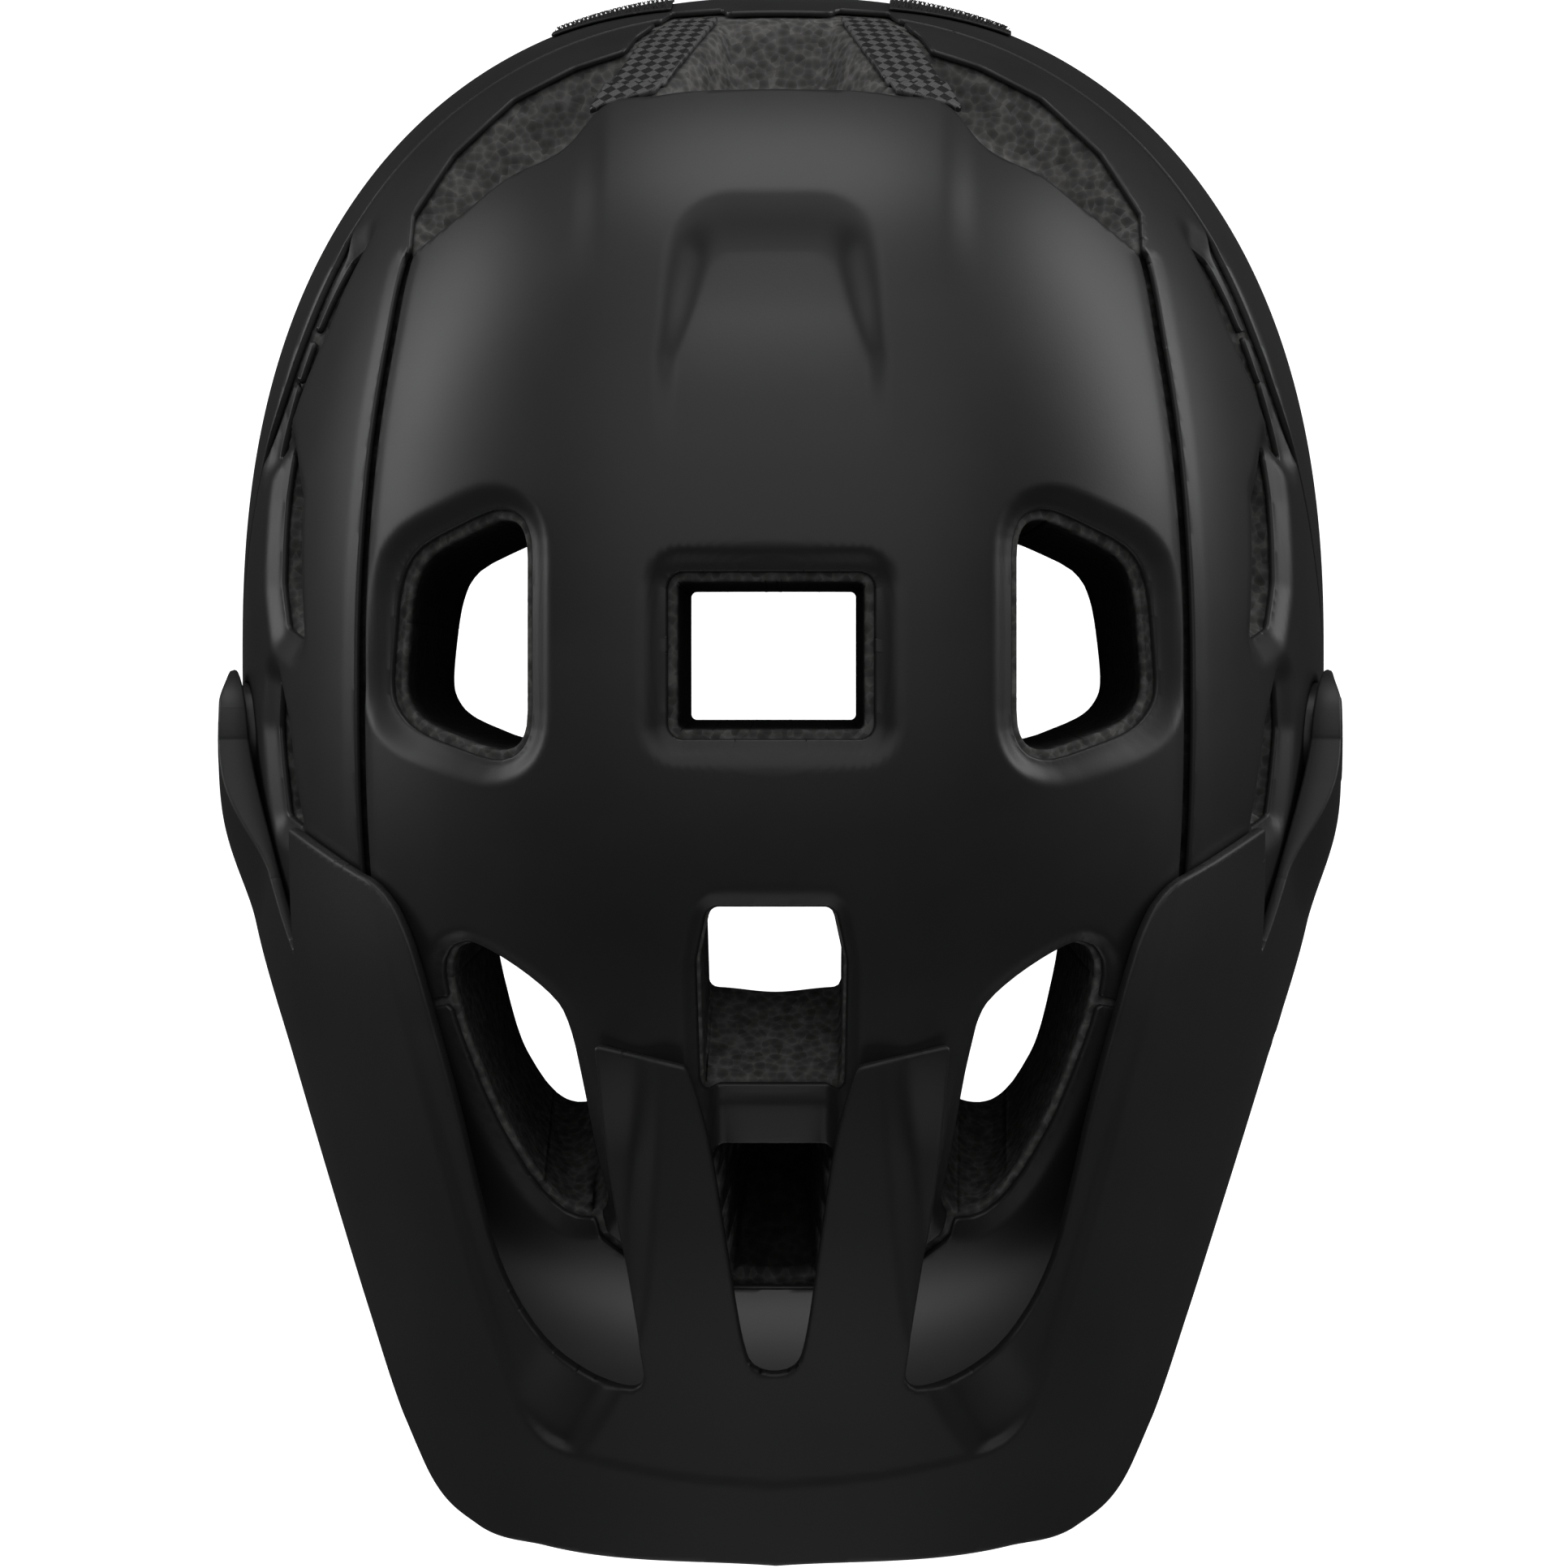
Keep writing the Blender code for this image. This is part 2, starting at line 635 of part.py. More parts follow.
def visor_mount(side, name):
    """Threaded socket in the liner and the screw that holds the visor's arm to it."""
    centre = (PIVOT_Y, PIVOT_Z)
    socket = cylinder(f"pivot_socket_{name}", EYELET_RADIUS, 0, side * 96.4, side * 104.2, centre, "nylon")
    bore = cylinder(
        f"socket_bore_{name}", SCREW_SHAFT_RADIUS + GAP, 0, side * 98.0, side * 106.0, centre, "nylon",
    )
    cut(socket, bore)
    profile = (
        (side * 98.4, SCREW_SHAFT_RADIUS), (side * 106.7, SCREW_SHAFT_RADIUS),
        (side * 106.7, SCREW_HEAD_RADIUS), (side * 107.9, SCREW_HEAD_RADIUS), (side * 108.5, 8.0),
    )
    screw = turned(f"visor_screw_{name}", profile, 0, centre, "nylon")
    low, high = sorted((side * 107.7, side * 112.0))
    slot = block(
        f"screw_slot_{name}", (low, PIVOT_Y - 6.5, PIVOT_Z - 0.9), (high, PIVOT_Y + 6.5, PIVOT_Z + 0.9), "nylon",
    )
    cut(screw, slot)


# ---------------------------------------------------------------- pads on the cavity wall

def pad(name, field_of, depth=6.0, azimuths=(0.0, 360.0), latitudes=(0.0, 1.4), steps=(12, 5)):
    """A soft pad on the cavity wall, kept where its field is positive, over a window of directions."""
    wall = cavity_point(*window_grid(azimuths, latitudes, steps))
    field = field_of(*(wall[..., axis] for axis in range(3)))
    low = toward_head(wall, 0.8)
    high = toward_head(wall, 0.8 + depth)
    return sheet(name, low, high, field, "padding", closed=False)


def everywhere(x, y, z):
    """A field that keeps the whole window."""
    return np.ones(x.shape)


def pads():
    """Comfort pads of the head cavity."""
    pad("brow_pad", everywhere, 5.5, (222, 318), (0.14, 0.36), (17, 4))
    pad("crown_pad_centre", everywhere, 5.5, (74, 106), (0.62, 1.0), (6, 5))
    for side, name in ((1, "left"), (-1, "right")):
        def strip(x, y, z):
            reach = side * x
            return lowest(reach - 22.5, 37.0 - reach, y + 34.0, 72.0 - y)
        pad(f"crown_pad_{name}", strip, 5.5, mirrored(side, (-66, 74)), (0.45, 1.42), (17, 9))
        pad(f"side_pad_{name}", everywhere, 5.0, mirrored(side, (-24, 22)), (0.16, 0.38), (9, 4))
        pad(f"rear_pad_{name}", everywhere, 5.0, mirrored(side, (38, 68)), (-0.02, 0.30), (7, 4))


# ---------------------------------------------------------------- retention

def ring_point(azimuth, height, clearance=0.0):
    """Point of the retention ring, which slopes down to the rear; clearance moves it outward."""
    radius = clearance + plan_radius(azimuth, RING_HALF_WIDTH, RING_HALF_WIDTH, RING_REAR, RING_POWER)
    x = radius * np.cos(azimuth)
    y = CROWN_Y + radius * np.sin(azimuth)
    z = TEMPLE_Z - RING_SLOPE * (y - TEMPLE_Y) + height
    return np.stack([x, y, z], axis=-1)


def ring_band(name, azimuths, heights, finish, inward=0.0, thickness=RING_THICKNESS, steps=(9, 2), field_of=None):
    """A stretch of the ring between two azimuths (degrees) and two heights."""
    azimuth, height = window_grid(azimuths, heights, steps)
    outer = ring_point(azimuth, height, thickness - inward)
    inner = ring_point(azimuth, height, -inward)
    field = np.ones(azimuth.shape) if field_of is None else field_of(outer[..., 0], height)
    return sheet(name, outer, inner, field, finish, closed=False)


HOUSING_LOW_Y = 81.0
HOUSING_HIGH_Y = 87.5
HOUSING_HALF_WIDTH = 26.0
HOUSING_HALF_HEIGHT = 9.0
HOUSING_Z = -59.3
PINION_RADIUS = 4.4
PINION_TEETH = 10
RACK_TOOTH = 1.2
RACK_HEIGHT = 2.0
RACK_PITCH = 2.5
RACK_LENGTH = 24.0
DIAL_RADIUS = 12.0
DIAL_RIDGES = 16


def temple_arm(side, name):
    """Arm from the temple anchor toward the rear, with the hole it turns on."""
    arm = ring_band(f"temple_arm_{name}", mirrored(side, (-45, 34)), (-5.5, 5.5), "nylon", steps=(13, 2))
    hole = cylinder(f"temple_hole_{name}", 2.9, 0, side * 50, side * 78, (TEMPLE_Y, TEMPLE_Z), "nylon")
    cut(arm, hole)
    profile = (
        (side * 56.2, 4.6), (side * 58.0, 4.6), (side * 58.0, 2.6),
        (side * 69.4, 2.6), (side * 69.4, 7.0), (side * 72.6, 7.0),
    )
    turned(f"temple_anchor_{name}", profile, 0, (TEMPLE_Y, TEMPLE_Z), "nylon", 16)


def rack(side, name):
    """Toothed rack: the left one runs over the pinion and the right one under it."""
    line = HOUSING_Z + side * (PINION_RADIUS + GAP)
    inner_end, outer_end = 5.0, 5.0 + RACK_LENGTH
    outline = [(side * inner_end, line + side * (RACK_TOOTH + RACK_HEIGHT))]
    outline.append((side * outer_end, line + side * (RACK_TOOTH + RACK_HEIGHT)))
    outline.append((side * outer_end, line + side * RACK_TOOTH))
    for tooth in range(int(RACK_LENGTH / RACK_PITCH) - 1):
        start = outer_end - 1.5 - tooth * RACK_PITCH
        outline.append((side * start, line + side * RACK_TOOTH))
        outline.append((side * (start - 0.5), line))
        outline.append((side * (start - 1.25), line))
        outline.append((side * (start - 1.75), line + side * RACK_TOOTH))
    outline.append((side * inner_end, line + side * RACK_TOOTH))
    extrusion(f"rack_{name}", outline, 1, 83.0, 85.4, "nylon")


def pinion():
    """Pinion under the dial, between the two racks."""
    outline = []
    for tooth in range(PINION_TEETH):
        for share, radius in ((-0.32, 3.3), (-0.15, PINION_RADIUS), (0.15, PINION_RADIUS), (0.32, 3.3)):
            angle = 2 * math.pi * (tooth + share) / PINION_TEETH
            outline.append((radius * math.cos(angle), HOUSING_Z + radius * math.sin(angle)))
    extrusion("pinion", outline, 1, 83.0, 85.4, "nylon")


def housing():
    """Dial housing: a flat sleeve open at both ends, and the cover on its head side."""
    z_low, z_high = HOUSING_Z - HOUSING_HALF_HEIGHT, HOUSING_Z + HOUSING_HALF_HEIGHT
    low = (-HOUSING_HALF_WIDTH, HOUSING_LOW_Y, z_low)
    high = (HOUSING_HALF_WIDTH, HOUSING_HIGH_Y, z_high)
    body = block("dial_housing", low, high, "nylon")
    hollow = block("housing_hollow", (-40, 70, z_low + 1.0), (40, 86.0, z_high - 1.0), "nylon")
    cut(body, hollow)
    bore = cylinder("housing_bore", 2.3, 1, 80, 95, (0.0, HOUSING_Z), "nylon", 16)
    cut(body, bore)
    block("housing_cover", (-HOUSING_HALF_WIDTH, 79.2, z_low), (HOUSING_HALF_WIDTH, 80.7, z_high), "nylon")


def dial():
    """Ridged dial with a shaft into the housing, and its screw."""
    count = 2 * DIAL_RIDGES
    outline = []
    for step in range(count):
        angle = 2 * math.pi * step / count
        radius = DIAL_RADIUS if step % 2 == 0 else DIAL_RADIUS - 0.9
        outline.append((radius * math.cos(angle), HOUSING_Z + radius * math.sin(angle)))
    body = extrusion("dial", outline, 1, 87.9, 94.5, "rubber")
    shaft = cylinder("dial_shaft", 2.0, 1, 85.7, 89.0, (0.0, HOUSING_Z), "rubber", 16)
    cut(body, shaft, "UNION")
    recess = cylinder("dial_recess", 5.0, 1, 92.6, 99.0, (0.0, HOUSING_Z), "rubber", 20)
    cut(body, recess)
    turned("dial_screw", ((92.9, 4.2), (93.7, 4.2), (94.2, 3.2)), 1, (0.0, HOUSING_Z), "steel", 16)


def cradle():
    """Nape cradle below the housing, with two soft pads."""
    def lobes(x, height):
        reach = np.abs(x)
        return np.minimum(35.0 - reach, height + 32.0 - 8.0 * (1 - smooth_step(reach, 4.0, 18.0)))
    ring_band("nape_cradle", (61, 119), (-33.0, -16.5), "nylon", 1.0, 1.6, (12, 5), lobes)
    for side, name in ((1, "left"), (-1, "right")):
        ring_band(
            f"cradle_pad_{name}", mirrored(side, (63, 80)), (-30.0, -18.0), "padding", 5.6, 4.2, (6, 3),
        )


def height_adjuster():
    """Slider that rises from the housing and the notched track fixed inside the liner."""
    top = HOUSING_Z + HOUSING_HALF_HEIGHT
    outline = (
        (83.0, top + GAP), (86.0, top + GAP), (86.0, -46.8), (94.0, -45.0),
        (94.0, -24.0), (92.6, -24.0), (92.6, -43.4), (83.0, -45.6),
    )
    extrusion("height_slider", outline, 0, -6.0, 6.0, "nylon")
    track = [(98.4, -16.0), (98.4, -39.0), (97.0, -39.0)]
    for notch in range(4):
        base = -37.0 + notch * 5.0
        track += [(97.0, base), (96.4, base + 1.0), (96.4, base + 3.0), (97.0, base + 4.0)]
    track.append((97.0, -16.0))
    extrusion("height_track", track, 0, -5.0, 5.0, "nylon")


def retention():
    """Everything of the ring that closes round the head."""
    for side, name in ((1, "left"), (-1, "right")):
        temple_arm(side, name)
        ring_band(f"belt_{name}", mirrored(side, (35, 67)), (-4.0, 4.0), "nylon", steps=(6, 2))
        rack(side, name)
    pinion()
    housing()
    dial()
    cradle()
    height_adjuster()


# ---------------------------------------------------------------- straps and buckle

def strap(name, start, end, side):
    """Flat webbing between two (Y, Z) places, lying in a fore-and-aft plane."""
    along = Vector((end[0] - start[0], end[1] - start[1])).normalized()
    across = Vector((-along.y, along.x)) * STRAP_WIDTH / 2
    first, last = Vector(start), Vector(end)
    outline = [first - across, last - across, last + across, first + across]
    half = STRAP_THICKNESS / 2
    outline = [(point.x, point.y) for point in outline]
    low, high = sorted((side * (STRAP_X - half), side * (STRAP_X + half)))
    extrusion(name, outline, 0, low, high, "webbing")


def rim_height(y):
    """Rim height beside the straps."""
    return float(smooth_curve(front_angle(np.array(STRAP_X), np.array(y)), RIM))


def anchor(name, y, side):
    """Plug under the rim that holds the end of a strap."""
    top = min(rim_height(y - 9), rim_height(y + 9)) - 2.0
    low, high = sorted((side * (STRAP_X - 3.5), side * (STRAP_X + 5.0)))
    block(name, (low, y - 9, top - 3.5), (high, y + 9, top), "nylon")
    return top - 3.5


def side_straps(side, name):
    """The V of webbing, its divider and the divider's cam lever on one side."""
    front = anchor(f"strap_anchor_front_{name}", FRONT_ANCHOR_Y, side) - 2.5
    rear = anchor(f"strap_anchor_rear_{name}", REAR_ANCHOR_Y, side) - 2.5
    strap(f"front_strap_{name}", (FRONT_ANCHOR_Y, front - 3), (DIVIDER_Y - 10.5, DIVIDER_TOP + 5.0), side)
    strap(f"rear_strap_{name}", (REAR_ANCHOR_Y, rear - 4), (DIVIDER_Y + 11.0, DIVIDER_TOP + 5.0), side)
    outline = ((-20, -89), (20, -89), (20, -95), (9, -112), (-9, -112), (-20, -95))
    outline = [(DIVIDER_Y + y, z) for y, z in outline]
    low, high = sorted((side * (STRAP_X - 3), side * (STRAP_X + 3)))
    extrusion(f"divider_{name}", outline, 0, low, high, "nylon")
    low, high = sorted((side * (STRAP_X + 3.3), side * (STRAP_X + 5.3)))
    block(f"divider_lever_{name}", (low, DIVIDER_Y - 9, -108), (high, DIVIDER_Y + 9, -91.4), "nylon")


def buckle_male():
    """Male buckle with its webbing slot and three prongs, on the left-hand strap."""
    x = STRAP_X
    y = DIVIDER_Y
    top = BUCKLE_TOP
    outline = (
        (-12, 0), (12, 0), (12, -20), (10.5, -34), (7.6, -39), (6.8, -34), (6.8, -21), (2, -21),
        (2, -36), (-2, -36), (-2, -21), (-6.8, -21), (-6.8, -34), (-7.6, -39), (-10.5, -34), (-12, -20),
    )
    body = extrusion("buckle_male", [(y + a, top + b) for a, b in outline], 0, x + 1.4, x + 4.4, "nylon")
    loop = block("buckle_loop", (x - 3.0, y - 12, top - 18), (x + 2.0, y + 12, top), "nylon")
    tunnel = block("buckle_tunnel", (x - 1.0, y - 8.2, top - 40), (x + 1.1, y + 8.2, top + 10), "nylon")
    cut(body, loop, "UNION")
    cut(body, tunnel)


def buckle_female():
    """Female buckle, open at the bottom, with a release window on either edge."""
    x, y, top = -STRAP_X, DIVIDER_Y, BUCKLE_TOP
    body = block("buckle_female", (x - 4.5, y - 13, top - 36), (x + 3.5, y + 13, top - 1.0), "nylon")
    cavity = block("buckle_cavity", (x - 2.7, y - 10.5, top - 60), (x + 1.7, y + 10.5, top - 12), "nylon")
    window = block("buckle_window", (x - 2.7, y - 30, top - 28), (x + 1.7, y + 30, top - 16), "nylon")
    cut(body, cavity)
    cut(body, window)


def chin_straps():
    """Chin straps, buckle halves, chin pad and the keeper that holds the loose end."""
    strap("chin_strap_left", (DIVIDER_Y, DIVIDER_BOTTOM - GAP), (DIVIDER_Y, BUCKLE_TOP - 30), 1)
    strap("chin_strap_right", (DIVIDER_Y, DIVIDER_BOTTOM - GAP), (DIVIDER_Y, BUCKLE_TOP - 0.7), -1)
    buckle_male()
    buckle_female()
    x, y = STRAP_X, DIVIDER_Y
    block("chin_pad", (-x + 1.0, y - 11, BUCKLE_TOP + 2.0), (-x + 5.5, y + 11, DIVIDER_BOTTOM - 6.0), "padding")
    keeper = block("strap_keeper", (x - 2.4, y - 10, -150), (x + 2.4, y + 10, -144), "rubber")
    opening = block("keeper_opening", (x - 1.0, y - 8.2, -160), (x + 1.0, y + 8.2, -130), "rubber")
    cut(keeper, opening)


# ---------------------------------------------------------------- assembly

def joint_empty(name, place, nodes):
    """Empty on a joint's axis that carries the nodes of the moving body."""
    empty = bpy.data.objects.new(name, None)
    empty.empty_display_size = 0.01
    empty.location = [value * MM for value in place]
    bpy.context.collection.objects.link(empty)
    for node in nodes:
        piece = bpy.data.objects[node]
        piece.parent = empty
        piece.matrix_parent_inverse = Matrix.Translation(empty.location).inverted()
    return empty


def joints():
    """One empty for each moving body, on its axis."""
    joint_empty("visor_axis", (0, PIVOT_Y, PIVOT_Z), ["visor"])
    headband = ["temple_arm_left", "temple_arm_right", "belt_left", "belt_right", "dial_housing"]
    headband += ["housing_cover", "nape_cradle", "cradle_pad_left", "cradle_pad_right", "height_slider"]
    joint_empty("headband_axis", (0, TEMPLE_Y, TEMPLE_Z), headband)
    joint_empty("dial_axis", (0, 90, HOUSING_Z), ["dial", "dial_screw", "pinion"])
    joint_empty("lever_axis_left", (STRAP_X + 4.3, DIVIDER_Y, -92), ["divider_lever_left"])
    joint_empty("lever_axis_right", (-STRAP_X - 4.3, DIVIDER_Y, -92), ["divider_lever_right"])


def build():
    """Clear the scene and make every piece."""
    for old in list(bpy.data.objects):
        bpy.data.objects.remove(old)
    liner()
    shells()
    visor()
    for side, name in ((1, "left"), (-1, "right")):
        visor_mount(side, name)
        side_straps(side, name)
    pads()
    retention()
    chin_straps()
    joints()


build()
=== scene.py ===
"""Looks of the enduro cycling helmet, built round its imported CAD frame.

Lengths are in millimetres until a mesh is made, which scales them by MM to metres.
+Z is up, -Y is the front and +X is the wearer's left. Domed pieces are trimmed sheets: a fine grid
of directions, cut where a field crosses zero and closed by rounded lips.
"""
import json
import math

import bmesh
import bpy
import numpy as np
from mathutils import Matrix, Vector

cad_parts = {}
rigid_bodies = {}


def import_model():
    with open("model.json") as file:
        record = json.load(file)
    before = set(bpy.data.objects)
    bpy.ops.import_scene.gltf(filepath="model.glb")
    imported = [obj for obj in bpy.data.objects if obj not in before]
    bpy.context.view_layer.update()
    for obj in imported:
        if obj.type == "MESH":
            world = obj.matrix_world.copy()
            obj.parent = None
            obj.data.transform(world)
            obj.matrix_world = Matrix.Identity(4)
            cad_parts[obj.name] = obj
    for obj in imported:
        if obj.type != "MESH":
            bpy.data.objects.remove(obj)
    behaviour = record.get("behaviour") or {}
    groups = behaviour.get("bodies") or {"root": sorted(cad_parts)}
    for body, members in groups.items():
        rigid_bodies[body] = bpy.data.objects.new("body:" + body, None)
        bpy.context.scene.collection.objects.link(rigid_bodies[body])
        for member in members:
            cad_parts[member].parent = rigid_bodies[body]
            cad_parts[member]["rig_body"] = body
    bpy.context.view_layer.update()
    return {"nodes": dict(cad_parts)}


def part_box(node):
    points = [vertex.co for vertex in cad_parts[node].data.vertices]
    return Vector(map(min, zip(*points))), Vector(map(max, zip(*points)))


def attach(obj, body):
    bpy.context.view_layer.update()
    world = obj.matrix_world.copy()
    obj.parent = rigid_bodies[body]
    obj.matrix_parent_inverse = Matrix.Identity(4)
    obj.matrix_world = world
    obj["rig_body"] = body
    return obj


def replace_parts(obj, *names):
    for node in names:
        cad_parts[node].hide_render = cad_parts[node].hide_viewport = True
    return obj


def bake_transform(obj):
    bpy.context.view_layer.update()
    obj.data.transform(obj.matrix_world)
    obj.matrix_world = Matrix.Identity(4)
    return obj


MM = 0.001
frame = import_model()


def box_mm(node):
    """Lowest and highest corner of a CAD node, in millimetres."""
    low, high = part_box(node)
    return np.array(low) / MM, np.array(high) / MM


# Outer surface of the shell: a superellipsoid about the crown axis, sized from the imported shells.
CROWN_Y = 9.0
PLAN_POWER = 2.35
PROFILE_POWER = 2.25
VENT_HALF_WIDTH = 19.5
SHELL_HALF_WIDTH = box_mm("side_shell_left")[1][0]
SHELL_FRONT = CROWN_Y - box_mm("brow_shell")[0][1]
SHELL_REAR = box_mm("rear_shell")[1][1] - CROWN_Y
CROWN_SHARE = (1 - (VENT_HALF_WIDTH / SHELL_HALF_WIDTH) ** PROFILE_POWER) ** (1 / PROFILE_POWER)
SHELL_CROWN = box_mm("top_shell")[1][2] / CROWN_SHARE
SHELL_THICKNESS = 1.2
GAP = 0.3
FOAM_INSET = SHELL_THICKNESS + GAP

# Beyond SIDE_X from the middle a place is on the helmet's side. FAR stands for a distance that never counts.
SIDE_X = 60.0
FAR = 50.0

# Head cavity surface.
CAVITY_HALF_WIDTH = 81.0
CAVITY_FRONT = 114.0
CAVITY_REAR = 92.0
CAVITY_CROWN = 103.0
CAVITY_SKIRT = 200.0
CAVITY_POWER = 2.1
CROWN_WALL_SHARE = 0.86
CROWN_LATITUDES = (1.2, 1.33)
FRONT_SPREAD = 0.22
SPREAD_ANGLES = (12.0, 40.0)
SPREAD_LATITUDES = (1.30, 1.42)
WALL_LEAN = ((0, 0.18), (8, 0.18), (14, 0.2), (22, 0.34), (30, 0.37), (45, 0.31), (90, 0.26), (180, 0.25))

# Rim height by angle from the front (degrees).
RIM = ((0, 12), (40, 6), (65, -18), (80, -26), (100, -16), (120, -22), (145, -42), (180, -50))

# Grids: cells are about 1.2 mm on the dome. Angles are in radians.
FULL_CIRCLE = (0.0, 2 * math.pi)
DOME_LATITUDES = (-0.42, 1.51)
DOME_STEPS = (600, 190)
HALF_DOME_STEPS = (DOME_STEPS[0] * 19 // 36, DOME_STEPS[1])
LINER_STEPS = (480, 150)
WALL_SHARES = (0.05, 0.2, 0.4, 0.6, 0.8)
STRUT_LATITUDES = (0.28, 0.72)
STRUT_STEPS = (60, 60)
LIP = 0.4
FOAM_LIP = 0.6
LIP_SMOOTHING = 3
CROSSING_ROUNDS = 3

# Seams and edges of the shells.
SEAM_GAP = 1.5
CROWN_SEAM_ENDS = (-56, 84)
SIDE_SEAM = (
    (-60, 74), (-46, 76.2), (-28.6, 77.6), (-6.5, 78.2), (27, 77.5), (48.4, 75.7), (66.9, 73), (83.2, 70),
    (92, 67),
)
TAIL_EDGE = (
    (0, 114.2), (21.5, 113.1), (34, 110), (38.9, 104.5), (51.3, 97.6), (59.8, 90.9), (69.5, 83.3), (80, 74),
)
WRAP_EDGE = ((70, -40), (75, -22), (90, 18), (112, 44), (132, 50), (150, 48), (165, 46), (180, 46))
BROW_REGION = (
    (-50, -111), (10, -111), (24, -108), (32, -102), (37, -93), (43, -80), (48, -68), (55, -57), (66, -58),
    (80, -62), (130, -75), (130, -200), (-50, -200),
)

# Openings in plan. Those beside the middle are given for the left half, and the right half mirrors them.
CENTRE_VENT = ((-16.5, -5.5), (16.5, -5.5), (16.5, 19.7), (-16.5, 19.7))
SIDE_TOP_VENT = (
    (49.1, 29.5), (51.4, 31.9), (66.4, 25.0), (68.6, 19.0), (70.0, 1.8), (69.2, -1.2), (66.2, -4.2),
    (51.8, -9.4), (49.1, -6.9),
)
SIDE_TOP_CORNER = 3.5
FRONT_SIDE_VENT = (
    (60.5, -48.5), (54.2, -50.8), (44, -58), (41.2, -62.5), (39, -73.5),
    (36, -90.5), (34, -97.5), (41.5, -94.5), (51, -79), (58.5, -59.5),
)
VENT_CORNER = 3.0
SLOT_UPPER = ((-10, -42), (10, -42), (11.7, -50), (11.2, -72), (-11.2, -72), (-11.7, -50))
SLOT_LOWER = ((-9, -88), (9, -88), (6.5, -108), (-6.5, -108))
SLOT_CORNER = 2.5
CRESCENT = (
    (69.5, 83.3), (59.8, 90.9), (51.3, 97.6), (38.9, 104.5), (35, 110.5), (28.6, 123.7),
    (38.8, 120.4), (50.4, 114.3), (61.8, 103.3), (69.2, 91.4),
)
STRUT = (
    (22.8, 113.8), (36, 110.2), (30.8, 118.2), (26.4, 125.7), (20.5, 130.9), (11.5, 131.4), (16.6, 123.5),
)
REAR_CENTRE = ((-21.4, 114.5), (21.4, 114.5), (15.4, 123.5), (10.2, 131.2), (-10.2, 131.2), (-15.4, 123.5))
SIDE_SHELL_REAR_X = 24.0
FOAM_EDGE = 1.7
FRONT_FOAM_EDGE = 0.6

# Crossbar between the two halves of the front slot.
CROSSBAR_Y = -80.0
CROSSBAR_HALF_WIDTH = 10.5
CROSSBAR_HALF_LENGTH = 6.5

# Depths of the hollows in the foam.
CRESCENT_DEPTH = 9.0
REAR_CENTRE_DEPTH = 10.0
CHANNEL_DEPTH = 20.0
SIDE_HOLLOW_DEPTH = 5.0
POCKET_DEPTH = 8.0
GROOVE_DEPTH = 2.0

# Painted shade: how much darker the foam's colour is made deep in the vents and in the grooves, where shade
# falls. None is painted behind and beside them.
PAINTED_SHADE = "shade"
CROWN_WALL_SHADE = 0.95
FRONT_WALL_SHADE = 0.35
GROOVE_SHADE = 0.9
SHADED_REAR = 60.0
SHADED_HALF_WIDTH = 84.0

# Depths of the shapes pressed into the shells, and the height of the raised tail.
DISH_DEPTH = 2.2
FRONT_SLOPE_DEPTH = 1.3
SIDE_DISH_DEPTH = 2.2
CROSSBAR_DEPTH = 3.0
SEAM_DEPTH = 0.4
TAIL_HEIGHT = 1.0

# Side recesses in the (Y, Z) plane.
SIDE_RECESSES = (
    ((47, 60), (37, 69), (12, 73), (14, 66), (22, 62), (38, 60)),
    ((2, 62), (-6, 66), (-24, 69), (-22, 62), (-6, 60)),
    ((86, 58), (70, 60), (49, 54), (47, 49), (65, 52), (84, 54)),
)
RECESS_CORNER = 1.0

# Scoop in the crown, by plan outline of its floor.
SCOOP_FLOOR = ((-13.5, 10), (13.5, 10), (13.5, 62), (7.5, 81), (-7.5, 81), (-13.5, 62))
SCOOP_CORNER = 4.0
SCOOP_DEPTH = 4.5
SCOOP_RAMP = 5.0
SCOOP_REAR_RAMP = 4.0

# Visor arch and the cuts that shape it.
VISOR_EDGE_X = (
    (-166, 62), (-150, 66.5), (-137, 72), (-118, 78.5), (-95, 86), (-70, 94), (-46, 101.5), (-30, 105),
    (-14, 108), (8, 109.6),
)
VISOR_EDGE_Z = ((-166, 62), (-140, 60), (-95, 48), (-50, 32), (-20, 23), (8, 20))
VISOR_TOP_Z = ((-166, 78), (-140, 90), (-100, 109), (-67, 121), (-37, 127.5), (-20, 129), (8, 129))
VISOR_DROP = 20.0
VISOR_POWER = 2.3
VISOR_THICKNESS = 2.2
VISOR_FRONT_EDGE = ((0, -165), (44, -161.5), (57, -158), (66.5, -149), (72, -137), (120, -60))
VISOR_BACK_CUT = (
    (-40, 60), (140, 60), (96.5, -22.5), (81.5, -32), (73.5, -36), (68.5, -45), (60, -76), (56.5, -92),
    (52.5, -108), (45, -121), (37, -127.6), (30, -130.5), (24.4, -130.5), (25.2, -124), (28, -108),
    (30.5, -92), (33.2, -65.2), (16, -69.2), (12, -81), (9, -101), (6, -122), (3.8, -127.5),
    (-3.8, -127.5), (-6, -122), (-40, -60),
)
VISOR_SHARP = (1, 2, 16, 17)
VISOR_NOTCH = ((-48, 68), (-18, 77), (40, 100), (40, 49.5), (-8, 49.5), (-16, 53))
VISOR_STEP = (
    (-40, -149.5), (0, -149.5), (20, -147.8), (40, -143.6), (47.5, -138.5), (51.5, -128), (56.2, -113.8),
    (64.7, -81.3), (76.2, -37.2), (76, 20), (-40, 20),
)
STEP_HEIGHT = 0.25
STEP_LOWEST = 66.0
VISOR_PANEL = (
    (-40, -40), (18, -40), (19.9, -70.7), (21.4, -90.8), (22.6, -107), (23.7, -117), (26.1, -126.4),
    (31.5, -137.4), (38, -146), (-40, -160),
)
VALLEY_DEPTH = 5.5
VALLEY_RAMP = 6.0
